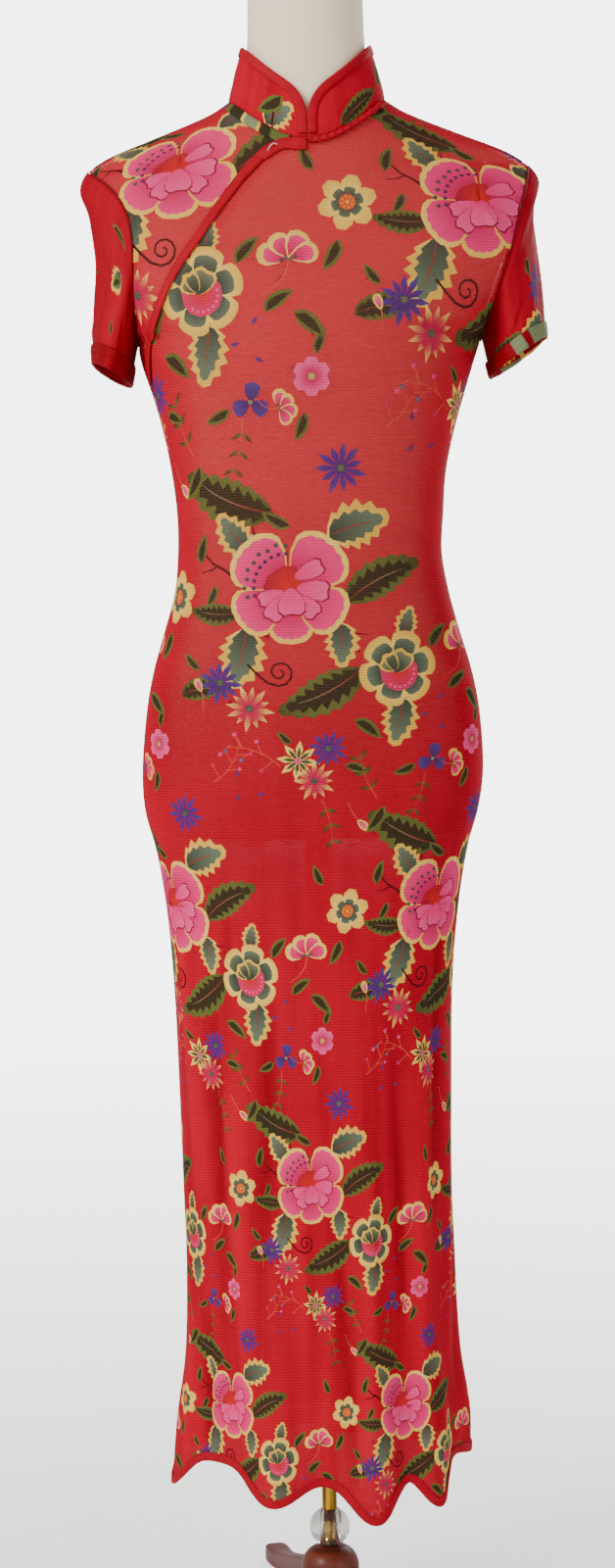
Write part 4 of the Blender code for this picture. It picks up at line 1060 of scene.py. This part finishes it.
def layBand(name, centre, normal, width, thick, finish, replaces=(), closed=False, sides=12,
            square=0.7, colours=None):
    # a soft band swept along a path that lies on the cloth, oval in section
    centre, normal = np.asarray(centre, float), np.asarray(normal, float)
    count = len(centre)
    if closed:
        along = np.roll(centre, -1, axis=0) - np.roll(centre, 1, axis=0)
    else:
        along = np.gradient(centre, axis=0)
    along = unit(along)
    normal = normal - along * np.sum(normal * along, axis=1)[:, None]
    normal = unit(normal)
    side = np.cross(along, normal)
    width = np.broadcast_to(width, count)[:, None]
    thick = np.broadcast_to(thick, count)[:, None]
    points, uv = [], []
    length = lengthAlong(centre)
    for k in range(sides):
        turn = 2 * math.pi * k / sides
        c, s = math.cos(turn), math.sin(turn)
        out = math.copysign(abs(c) ** square, c) / 2
        up = (math.copysign(abs(s) ** square, s) + 1) / 2
        points.append(centre + side * width * out + normal * thick * up)
        uv.append(np.stack([length, np.full(count, k / sides * 0.03)], -1))
    points = np.stack(points, 1).reshape(-1, 3)
    uv = np.stack(uv, 1).reshape(-1, 2)
    faces = []
    for i in range(count if closed else count - 1):
        here, ahead = i * sides, (i + 1) % count * sides
        for k in range(sides):
            nxt = (k + 1) % sides
            faces.append([here + k, ahead + k, ahead + nxt, here + nxt])
    if not closed:
        faces.append(list(range(sides)))
        faces.append([(count - 1) * sides + k for k in range(sides - 1, -1, -1)])
    piece = meshPiece(name, points, faces, finish, replaces)
    corners = np.concatenate([np.array(f) for f in faces])
    layer = piece.data.uv_layers.new(name="cloth")
    layer.uv.foreach_set("vector", uv[corners].ravel().astype(np.float32))
    if colours is not None:
        shade = piece.data.color_attributes.new("print", "FLOAT_COLOR", "CORNER")
        shade.data.foreach_set("color", colours(uv)[corners].ravel().astype(np.float32))
    piece.data.shade_smooth()
    return piece


def surfaceNormal(angle, z, side):
    # outward direction of the cloth at an angle and height
    low, high = (-90, 90) if side < 0 else (90, 270)
    z = np.minimum(z, topEdge(shareAt(angle), side) - 0.0006)
    ahead = bodyPlace(np.minimum(angle + 0.6, high), z, side)
    around = ahead - bodyPlace(np.maximum(angle - 0.6, low), z, side)
    rise = bodyPlace(angle, z + 0.0005, side) - bodyPlace(angle, z - 0.0005, side)
    cross = np.cross(around, rise)
    return unit(cross)


bindingSizes = {
    "opening": (0.0125, 0.0070, 0.0024), "openingLift": 0.0008, "hem": (0.0085, 0.0017),
    "collar": (0.0085, 0.0018), "piping": (0.0060, 0.0042),
}


def makeOpeningBinding():
    wide, narrow, thick = bindingSizes["opening"]
    share = -0.004 - 0.976 * np.linspace(0, 1, 150)
    angle = angleAt(share)
    z = np.minimum(openingHeight(share), topEdge(share, -1) - wide / 2 - 0.0012)
    for _ in range(60):
        z[1:-1] = (z[:-2] + z[1:-1] * 2 + z[2:]) / 4
    normal = surfaceNormal(angle, z, -1)
    centre = bodyPlace(angle, z, -1) + normal * bindingSizes["openingLift"]
    taper = np.linspace(0, 1, 150)
    width = wide + (narrow - wide) * taper + 0.0006 * np.sin(taper * 41) * np.sin(taper * 13)
    height = thick * (1 + 0.14 * np.sin(taper * 57 + 1) * np.sin(taper * 23))
    layBand("openingBinding", centre, normal, width, height, "binding",
            ("placket_binding",), sides=14)
    return centre, normal, height


def makeHemBinding():
    angle = np.linspace(-90, 270, 480, endpoint=False)
    band, thick = bindingSizes["hem"]
    z = hemHeight(angle) + band / 2
    centre = np.where((angle < 90)[:, None], bodyPlace(angle, z, -1), bodyPlace(angle, z, 1))
    normal = np.where((angle < 90)[:, None], surfaceNormal(np.minimum(angle, 90), z, -1),
                      surfaceNormal(np.maximum(angle, 90), z, 1))
    height = thick * (1 + 0.2 * np.sin(np.radians(angle) * 37) * np.sin(np.radians(angle) * 11))
    piece = layBand("hemBinding", centre + normal * 0.0002, normal, band * 0.98, height, "binding",
                    ("hem_binding",), closed=True)
    return piece, (centre, normal, height)


def makeCollarBinding():
    # up one front edge, round the top and down the other front edge
    band, thick = bindingSizes["collar"]
    half = [(collarShape["start"], r) for r in np.linspace(0.0016, 0.018, 8)]
    half += [(a, float(collarHeight(a))) for a in np.concatenate([
        np.linspace(1.2, 24, 22), np.linspace(27, 177, 50)])]
    edge = np.array(half + [(180, collarShape["height"])] + [(360 - a, r) for a, r in reversed(half)])
    flat = np.stack([np.radians(edge[:, 0]) * collarShape["arc"], edge[:, 1]], -1)
    along = np.gradient(flat, axis=0)
    along = unit(along)
    inward = np.stack([along[:, 1], -along[:, 0]], -1)
    flat = flat + inward * band * 0.46
    for _ in range(2):
        flat[1:-1] = (flat[:-2] + flat[1:-1] * 2 + flat[2:]) / 4
    around = collarPlace(flat + (0.0005, 0)) - collarPlace(flat - (0.0005, 0))
    rise = collarPlace(flat + (0, 0.0005)) - collarPlace(flat - (0, 0.0005))
    normal = np.cross(around, rise)
    normal = unit(normal)
    layBand("collarBinding", collarPlace(flat) + normal * 0.0001, normal, band, thick, "binding",
            ("collar_binding",))


def necklinePath(sign, start, end, inset, count=60):
    # points of the front a little outside the neckline, with the cloth's direction there
    part = np.linspace(start, end, count)
    z = necklineHeight(part, -1)
    angle = angleAt(part * body["neckHalf"] / body["shoulderHalf"]) * sign
    edge = bodyPlace(angle, z, -1)
    normal = surfaceNormal(angle, z - 0.001, -1)
    along = np.gradient(edge, axis=0)
    away = np.cross(along, normal) * -sign
    away = unit(away)
    away *= -np.sign(away[:, 2:])
    return edge + away * inset, normal


def makeNeckTrims():
    # twisted piping on the wearer's left, the yoke's turned printed edge on the right
    wide, thick = bindingSizes["piping"]
    centre, normal = necklinePath(1, 0.02, 0.93, 0.0034, 110)
    twist = np.linspace(0, 1, 110)
    width = wide * (1 + 0.16 * np.sin(twist * 62))
    layBand("neckPiping", centre + normal * 0.0002, normal, width, thick * (1 + 0.14 * np.cos(twist * 62)),
            "binding", ("neckline_piping",))
    centre, normal = necklinePath(-1, 0.93, 0.22, 0.0050, 90)

    def leafShades(uv):
        place = uv[:, 0] * 1000
        shade = np.zeros((len(uv), 4))
        stripes = ((0, 18, "olive"), (10, 30, "darkGreen"), (30, 33, "cream"), (33, 50, "greyGreen"),
                   (50, 53, "butter"), (53, 70, "darkGreen"), (66, 95, "olive"))
        for low, high, name in stripes:
            slant = place + uv[:, 1] * 420
            here = (slant > low) & (slant < high)
            shade[here, :3] = inks[name]
            shade[here, 3] = 1
        return shade

    layBand("yokeNeckEdge", centre + normal * 0.0003, normal, 0.0098, 0.0022, "mesh",
            ("yoke_neck_edge",), colours=leafShades)


def makeSleeveHem(name, band, leafy):
    # turned hem, rolled a little at its edge
    around = np.linspace(0, 1, 120, endpoint=False)
    girth, length = sleeveCut[name]
    middle = np.full(120, 1 - band / 2 / length)
    centre = sleevePlace(name, around, middle)
    ahead = sleevePlace(name, (around + 0.002) % 1, middle) - sleevePlace(name, (around - 0.002) % 1, middle)
    down = sleevePlace(name, around, middle + 0.02) - sleevePlace(name, around, middle - 0.02)
    normal = np.cross(ahead, down)
    outward = centre - centre.mean(0)
    normal *= np.sign(np.sum(normal * outward, axis=1))[:, None]
    normal = unit(normal)

    def shades(uv):
        # the print's leaf runs over the outer half of a leafy cuff, cream at its edge
        shade = np.zeros((len(uv), 4))
        slant = uv[:, 0] / girth + 0.03 * np.sin(uv[:, 0] * 190)
        for low, high, rim, ink in ((0.24, 0.78, 0.0, "greyGreen"), (0.34, 0.72, 0.017, "cream"),
                                    (0.44, 0.52, 0.0, "darkGreen")):
            here = (slant > low) & (slant < high) & (uv[:, 1] >= rim) & leafy
            shade[here, :3] = inks[ink]
            shade[here, 3] = 1
        return shade

    ruffle = np.sin(around * 2 * math.pi * 11) * np.sin(around * 2 * math.pi * 3 + 1)
    centre = centre + normal * (0.0012 * ruffle[:, None] if leafy else 0)
    wobble = 1 + 0.25 * np.sin(around * 2 * math.pi * 9) * np.sin(around * 2 * math.pi * 4 + 1)
    layBand("sleeveHem" + name.title(), centre + normal * 0.0004, normal, band, 0.0022 * wobble,
            "sleeveMesh", ("sleeve_hem_" + name,), closed=True, sides=14, colours=shades)


def sewRow(name, centre, normal, length=0.0026, gap=0.0016, thick=0.0006, finish="thread"):
    # a row of stitches, each a short thread that dips into the cloth at both ends
    steps = lengthAlong(centre)
    points, faces = [], []
    for begin in np.arange(0.001, steps[-1] - length, length + gap):
        spots = np.stack([[np.interp(begin + length * t, steps, values[:, k]) for k in range(3)]
                          for t in (0, 0.5, 1) for values in (centre, normal)]).reshape(3, 2, 3)
        side = np.cross(spots[2, 0] - spots[0, 0], spots[1, 1])
        side = side / np.linalg.norm(side) * thick / 2
        first = len(points)
        for (spot, up), rise in zip(spots, (-0.3, 0.7, -0.3)):
            up = up / np.linalg.norm(up) * thick
            points += [spot + side + up * rise, spot + up * (rise + 0.5), spot - side + up * rise,
                       spot + up * (rise - 0.5)]
        for ring in (first, first + 4):
            for k in range(4):
                n = (k + 1) % 4
                faces.append([ring + k, ring + n, ring + 4 + n, ring + 4 + k])
        faces += [[first + 3, first + 2, first + 1, first], [first + 8, first + 9, first + 10, first + 11]]
    piece = meshPiece(name, points, faces, finish)
    piece.data.shade_smooth()


def makeSeams():
    # sewn ridges at the armholes, the sides and the shoulders
    settings = {"width": 0.0030, "thick": 0.0012}
    tip = body["shoulderTip"]
    for name, sign in (("Right", -1), ("Left", 1)):
        low = body["underarm"] - 0.002
        z = np.concatenate([np.linspace(low, tip - 0.003, 60), np.linspace(tip - 0.003, low, 60)])
        side = np.repeat([-1, 1], 60)
        angle = np.full(120, 90.0 * sign)
        ring = np.where((side < 0)[:, None], bodyPlace(angle, z, -1), bodyPlace(angle, z, 1))
        normal = np.stack([np.full(120, 0.85 * sign), side * 0.5, 0.25 * np.ones(120)], -1)
        layBand("armholeSeam" + name, ring + (0.0004 * sign, 0, 0), normal, settings["width"],
                settings["thick"], "seam", closed=True, sides=8)
        z = np.linspace(hemHeight(90 * sign) + 0.010, body["underarm"] - 0.004, 160)
        angle = np.full(160, 90.0 * sign)
        seam = (bodyPlace(angle, z, -1) + bodyPlace(angle, z, 1)) / 2
        layBand("sideSeam" + name, seam, np.tile([sign, 0, 0.0], (160, 1)), settings["width"],
                settings["thick"] * 0.7, "seam", sides=8)
        share = np.linspace(body["neckHalf"] / body["shoulderHalf"] + 0.03, 0.975, 50) * sign
        high = ridgeHeight(share, -1)
        seam = bodyPlace(angleAt(share), high, -1)
        layBand("shoulderSeam" + name, seam, np.tile([0.35 * sign, 0, 1.0], (50, 1)), settings["width"],
                settings["thick"] * 0.7, "seam", sides=8)


def makeThreadHook():
    # the loop of white thread that holds the top of the opening
    share = np.linspace(-0.135, -0.175, 16)
    angle = angleAt(share)
    z = openingHeight(share) - 0.0005
    normal = surfaceNormal(angle, z, -1)
    arch = np.sin(np.linspace(0, math.pi, 16))[:, None]
    centre = bodyPlace(angle, z, -1) + normal * (0.0030 + 0.0016 * arch) + arch * (0, 0, 0.0020)
    layBand("threadHook", centre, normal, 0.0010, 0.0010, "whiteThread", sides=8,
            square=1)


openingLine = makeOpeningBinding()
hemBinding, hemLine = makeHemBinding()
makeCollarBinding()
makeNeckTrims()
makeSleeveHem("right", 0.020, False)
makeSleeveHem("left", 0.015, True)
makeSeams()
makeThreadHook()
centre, normal, thick = openingLine
along = np.gradient(centre, axis=0)
across = np.cross(normal, along)
across = unit(across)
for row, inset in (("A", -0.0036), ("B", 0.0036)):
    sewRow("openingStitches" + row, centre + across * inset + normal * (thick[:, None] * 0.93), normal)
centre, normal, thick = hemLine
sewRow("hemStitches", centre + (0, 0, 0.0026) + normal * (thick[:, None] * 0.93), normal)
print("bindings and hems made")


def formCoverCloth():
    # plain cream jersey drawn over the form
    f = Finish("formJersey", 0.85, Sheen_Weight=0.3, Sheen_Roughness=0.6, Specular_IOR_Level=0.2)
    place = f.objectPlace()
    knit = f.noise(f.stretched(place, (900, 900, 420)), 1.0, 2, 0.5)
    cloud = f.noise(place, 9, 3)
    colour = f.mix(cloud, paint(255, 238, 206), paint(248, 226, 192))
    f.feed("Base Color", f.mix((knit - 0.4) * 0.35, colour, paint(205, 186, 160)))
    f.feed("Roughness", 0.8 + cloud * 0.12)
    f.bump(knit, 0.0003, 0.5)
    return f.material


def brassMetal():
    f = Finish("poleBrass", 0.22, Metallic=1.0)
    place = f.objectPlace()
    # lengthwise streaks: rougher and slightly raised, and painted dark as reflections of darker surroundings
    paintedShadingStreak = f.noise(f.stretched(place, (260, 260, 5)), 1.0, 3, 0.5)
    cloud = f.noise(place, 34, 4)
    bright = f.mix(cloud, paint(226, 178, 62), paint(186, 136, 40))
    # painted dark reflections along the streaks
    f.feed("Base Color", f.mix(((paintedShadingStreak - 0.44) * 5.0).clamp(0.0, 0.9), bright, paint(84, 56, 14)))
    f.feed("Roughness", 0.12 + paintedShadingStreak * 0.2)
    f.bump(paintedShadingStreak, 0.0001, 0.4)
    return f.material


def darkPaintedMetal():
    f = Finish("socketMetal", 0.4, Metallic=0.7)
    place = f.objectPlace()
    grain = f.noise(place, 260, 4)
    f.feed("Base Color", f.mix(grain, paint(62, 54, 50), paint(40, 34, 32)))
    f.feed("Roughness", 0.32 + grain * 0.2)
    f.bump(grain, 0.0001, 0.4)
    return f.material


def varnishedWood():
    # red-brown stained hardwood under varnish, the grain along each piece
    f = Finish("redWood", 0.4, Coat_Weight=0.12, Coat_Roughness=0.25, Specular_IOR_Level=0.3)
    place = f.objectPlace()
    warp = f.noise(place, 14, 3) * 0.9
    ring = f.add("TexWave", {"wave_type": "RINGS", "rings_direction": "Z"},
                 {"Vector": f.stretched(place, (26, 26, 60)), "Scale": 1.0, "Distortion": 3.0,
                  "Detail": 3.0})
    pore = f.noise(f.stretched(place, (240, 240, 900)), 1.0, 3)
    grain = (ring * 0.6 + warp * 0.4).clamp()
    colour = f.mix(grain, paint(118, 46, 26), paint(64, 20, 12))
    f.feed("Base Color", f.mix((pore - 0.5) * 0.8, colour, paint(40, 12, 8)))
    f.feed("Roughness", 0.40 + pore * 0.18)
    f.bump(grain * 0.3 + pore, 0.00012, 0.4)
    return f.material


def clearGlass():
    f = Finish("ballGlass", 0.02, Transmission_Weight=0.96, IOR=1.3)
    dust = f.noise(f.objectPlace(), 150, 4)
    f.feed("Base Color", f.mix(dust * 0.4, paint(250, 252, 248), paint(226, 228, 214)))
    f.feed("Roughness", 0.01 + dust * 0.05)
    return f.material


finishes.update(form=formCoverCloth(), brass=brassMetal(), socket=darkPaintedMetal(),
                wood=varnishedWood(), glass=clearGlass())


# radius, bottom and top of the pole; of the socket and hub, with the bore's floor; the ball's height
standSizes = {
    "pole": (0.00725, 0.0335, 0.6049), "bore": 0.00755, "socket": (0.0130, 0.5400, 0.7757, 0.6057),
    "ball": (0.0195, 0.1015), "hub": (0.0280, 0.0120, 0.0832, 0.0332), "dome": 0.020, "groove": 0.0009,
    "legTurn": 103.0, "legCorner": 0.62, "legSteps": ((0.0284, 0.25, 27), (0.2525, 0.262, 8)),
    "sharpAngle": 34,
    # distance from the pole, underside, top and half width of a leg
    "leg": ((0.0284, 0.020, 0.050, 0.0080), (0.070, 0.025, 0.051, 0.0085), (0.120, 0.018, 0.041, 0.0090),
            (0.170, 0.008, 0.029, 0.0100), (0.210, 0.002, 0.021, 0.0105), (0.228, 0.0, 0.019, 0.0115),
            (0.250, 0.0, 0.0185, 0.0115), (0.259, 0.0, 0.016, 0.0085), (0.262, 0.002, 0.011, 0.0040)),
}


def startEditing(piece):
    selectOnly(piece)
    bpy.ops.object.mode_set(mode="EDIT")
    bpy.ops.mesh.select_all(action="SELECT")


def endEditing():
    bpy.ops.mesh.select_all(action="SELECT")
    bpy.ops.mesh.normals_make_consistent(inside=False)
    bpy.ops.object.mode_set(mode="OBJECT")


def finishPiece(piece, name, finish, replaces):
    # normals outwards, smooth but for its sharp edges
    endEditing()
    piece.name = name
    piece.data.materials.append(finishes[finish])
    selectOnly(piece)
    bpy.ops.object.shade_smooth_by_angle(angle=math.radians(standSizes["sharpAngle"]))
    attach(piece, "root")
    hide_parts(replaces)
    return piece


def turnPiece(name, profile, finish, replaces):
    # a turned piece: a disc extruded and scaled from ring to ring of its profile
    bpy.ops.object.select_all(action="DESELECT")
    radius, height = profile[0]
    bpy.ops.mesh.primitive_circle_add(vertices=48, radius=radius, fill_type="NGON", location=(0, 0, height))
    bpy.ops.object.transform_apply(location=True)
    piece = bpy.context.active_object
    startEditing(piece)
    for nextRadius, nextHeight in profile[1:]:
        bpy.ops.mesh.extrude_region_move(TRANSFORM_OT_translate={"value": (0, 0, nextHeight - height)})
        bpy.ops.transform.resize(value=(nextRadius / radius, nextRadius / radius, 1))
        radius, height = nextRadius, nextHeight
    return finishPiece(piece, name, finish, replaces)


def makeStand():
    bore = standSizes["bore"]
    radius, low, high = standSizes["pole"]
    edge = 0.0006
    turnPiece("brassPole", [(radius - edge, low), (radius, low + edge), (radius, high - edge),
                            (radius - edge, high)], "brass", "pole")
    radius, low, high, floor = standSizes["socket"]
    ring = 0.0012   # raised rim and a groove at the socket's mouth
    turnPiece("poleSocket", [
        (radius - 0.0008, high), (radius, high - 0.0008), (radius, low + 0.024),
        (radius - ring, low + 0.0228), (radius - ring, low + 0.0212), (radius, low + 0.020),
        (radius, low + 0.0010), (radius - 0.001, low),
        (bore + 0.0008, low), (bore, low + 0.0008), (bore, floor), (bore * 0.5, floor),
    ], "socket", "pole_socket")
    radius, middle = standSizes["ball"]
    reach = math.acos(bore / radius)
    turns = np.linspace(-reach, reach, 29)
    ball = [(radius * math.cos(t), middle + radius * math.sin(t)) for t in turns]
    shell = turnPiece("glassBall", ball, "glass", "glass_ball")
    # the bore: both end faces go, and their rims are bridged
    startEditing(shell)
    bpy.ops.mesh.select_all(action="DESELECT")
    bpy.ops.object.mode_set(mode="OBJECT")
    for face in shell.data.polygons:
        face.select = len(face.vertices) > 4
    bpy.ops.object.mode_set(mode="EDIT")
    bpy.ops.mesh.select_mode(type="FACE")
    bpy.ops.mesh.delete(type="ONLY_FACE")
    bpy.ops.mesh.select_mode(type="EDGE")
    bpy.ops.mesh.select_all(action="DESELECT")
    bpy.ops.mesh.select_non_manifold()
    bpy.ops.mesh.bridge_edge_loops()
    endEditing()
    radius, low, high, floor = standSizes["hub"]
    domeHeight = standSizes["dome"]
    lip = bore + 0.003
    hub = [(radius - 0.004, low), (radius - 0.001, low + 0.001), (radius, low + 0.004)]
    shoulderZ, neck = high - domeHeight, radius - standSizes["groove"]
    hub += [(radius, shoulderZ - 0.006), (neck, shoulderZ - 0.0052), (neck, shoulderZ - 0.0038),
            (radius, shoulderZ - 0.003)]
    for turn in np.linspace(0, math.pi / 2, 14):
        hub.append((lip + (radius - lip) * math.cos(turn), shoulderZ + domeHeight * math.sin(turn)))
    hub += [(bore + 0.0005, high), (bore, high - 0.0005), (bore, floor), (bore * 0.5, floor)]
    turnPiece("baseHub", hub, "wood", "base_hub")


def makeLegs():
    table = np.array(standSizes["leg"])
    reach = np.concatenate([np.linspace(*step) for step in standSizes["legSteps"]])
    low, high, half = (smoothCurve(table[:, 0], table[:, k], reach) for k in (1, 2, 3))
    low = np.maximum(low, 0)
    bpy.ops.object.select_all(action="DESELECT")
    bpy.ops.mesh.primitive_plane_add(size=2, rotation=(0, math.radians(90), 0))
    bpy.ops.object.transform_apply(rotation=True)
    leg = bpy.context.active_object
    startEditing(leg)
    bpy.ops.transform.resize(value=(1, half[0], (high[0] - low[0]) / 2))
    bpy.ops.transform.translate(value=(reach[0], 0, (low[0] + high[0]) / 2))
    bpy.ops.mesh.bevel(offset=half[0] * standSizes["legCorner"], segments=5, affect="VERTICES")
    for k in range(1, len(reach)):
        rise = (low[k] + high[k] - low[k - 1] - high[k - 1]) / 2
        taller = (high[k] - low[k]) / (high[k - 1] - low[k - 1])
        bpy.ops.mesh.extrude_region_move(
            TRANSFORM_OT_translate={"value": (reach[k] - reach[k - 1], 0, rise)})
        # scaled about the section's own middle
        bpy.ops.transform.resize(value=(1, half[k] / half[k - 1], taller),
                                 center_override=(reach[k], 0, (low[k] + high[k]) / 2))
    bpy.ops.object.mode_set(mode="OBJECT")
    for number in range(4):
        selectOnly(leg)
        bpy.ops.object.duplicate()
        copy = bpy.context.active_object
        copy.rotation_euler = (0, 0, math.radians(standSizes["legTurn"] + 90 * number))
        bpy.ops.object.transform_apply(rotation=True)
        startEditing(copy)
        finishPiece(copy, "woodLeg" + "ABCD"[number], "wood", "leg_" + str(number + 1))
    bpy.data.objects.remove(leg, do_unlink=True)


makeStand()
makeLegs()
print("stand made")


coverSettings = {
    "weld": 0.00002, "sharpAngle": 48, "crease": 0.9, "levels": 2,
    # how far the cover is drawn in under the cloth, and the share of it at each height
    "drawnIn": 0.0024, "heights": (1.22, 1.34, 1.49, 1.52), "shares": (0.6, 1.0, 1.0, 0.5),
}


def makeForm():
    # the padded form: a smoothed copy of its solid, with its flat ends kept crisp
    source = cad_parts["form_body"]
    piece = source.copy()
    piece.data = source.data.copy()
    piece.name = "formCover"
    for key in list(piece.keys()):
        del piece[key]
    bpy.context.scene.collection.objects.link(piece)
    piece.data.materials.clear()
    piece.data.materials.append(finishes["form"])
    startEditing(piece)
    bpy.ops.mesh.remove_doubles(threshold=coverSettings["weld"])
    bpy.ops.mesh.tris_convert_to_quads()
    bpy.ops.mesh.select_all(action="DESELECT")
    bpy.ops.mesh.select_mode(type="EDGE")
    bpy.ops.mesh.edges_select_sharp(sharpness=math.radians(coverSettings["sharpAngle"]))
    bpy.ops.transform.edge_crease(value=coverSettings["crease"])
    bpy.ops.object.mode_set(mode="OBJECT")
    levels = coverSettings["levels"]
    applyModifier(piece, "SUBSURF", levels=levels, render_levels=levels)
    # drawn in most at the shoulders, where both lie closest
    near = piece.vertex_groups.new(name="underCloth")
    rise = np.array([vertex.co.z for vertex in piece.data.vertices])
    pull = np.interp(rise, coverSettings["heights"], coverSettings["shares"])
    for weight in np.linspace(0.3, 1.0, 15):
        ring = np.flatnonzero(np.abs(pull - weight) <= 0.0251)
        near.add(ring.tolist(), float(weight), "REPLACE")
    applyModifier(piece, "DISPLACE", strength=-coverSettings["drawnIn"], mid_level=0.0,
                  vertex_group="underCloth")
    piece.data.shade_smooth()
    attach(piece, "root")
    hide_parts("form_body")


makeForm()
print("form made")


def makeStudio():
    # white floor and background, a soft key light from the left and a weaker fill
    settings = {"floorSize": 60, "floorGlow": 4.9, "world": 0.60, "backgroundMore": 4.6,
                "key": (-2.7, -2.5, 2.7, 1.3, 150), "fill": (2.6, -2.7, 1.3, 2.0, 26),
                "rim": (1.6, 2.9, 2.3, 1.6, 60)}
    bpy.ops.object.select_all(action="DESELECT")
    bpy.ops.mesh.primitive_plane_add(size=settings["floorSize"])
    floor = bpy.context.active_object
    floor.name = "studioFloor"
    # the floor turns into the white background away from the stand, without lighting the dress
    f = Finish("studioFloor", 0.8, Emission_Strength=settings["floorGlow"])
    cloud = f.noise(f.objectPlace(), 1.5, 3)
    away = f.add("VectorMath", {"operation": "LENGTH"}, {0: f.objectPlace()}, 1)
    seen = f.add("LightPath", {}, {}, 0)
    share = ((away - 0.5) / 5.0).clamp() * 0.81 + 0.19
    f.feed("Emission Color", f.mix(share * seen, (0, 0, 0), (1, 1, 1)))
    f.feed("Base Color", f.mix(cloud, paint(246, 244, 240), paint(238, 236, 232)))
    floor.data.materials.append(f.material)
    for name in ("key", "fill", "rim"):
        x, y, z, size, power = settings[name]
        data = bpy.data.lights.new(name + "Light", "AREA")
        data.size = size
        data.energy = power
        light = bpy.data.objects.new(name + "Light", data)
        light.location = (x, y, z)
        light.rotation_euler = (Vector((0, 0, 0.9)) - Vector((x, y, z))).to_track_quat("-Z", "Y").to_euler()
        bpy.context.scene.collection.objects.link(light)
    world = bpy.data.worlds.new("studioWorld")
    world.use_nodes = True
    nodes, links = world.node_tree.nodes, world.node_tree.links
    seen = nodes.new("ShaderNodeLightPath")
    more = nodes.new("ShaderNodeMath")
    more.operation = "MULTIPLY_ADD"
    more.inputs[1].default_value = settings["backgroundMore"]
    more.inputs[2].default_value = settings["world"]
    links.new(seen.outputs["Is Camera Ray"], more.inputs[0])
    links.new(more.outputs[0], nodes["Background"].inputs["Strength"])
    nodes["Background"].inputs["Color"].default_value = (1, 1, 1, 1)
    bpy.context.scene.world = world


makeStudio()
print("studio ready")
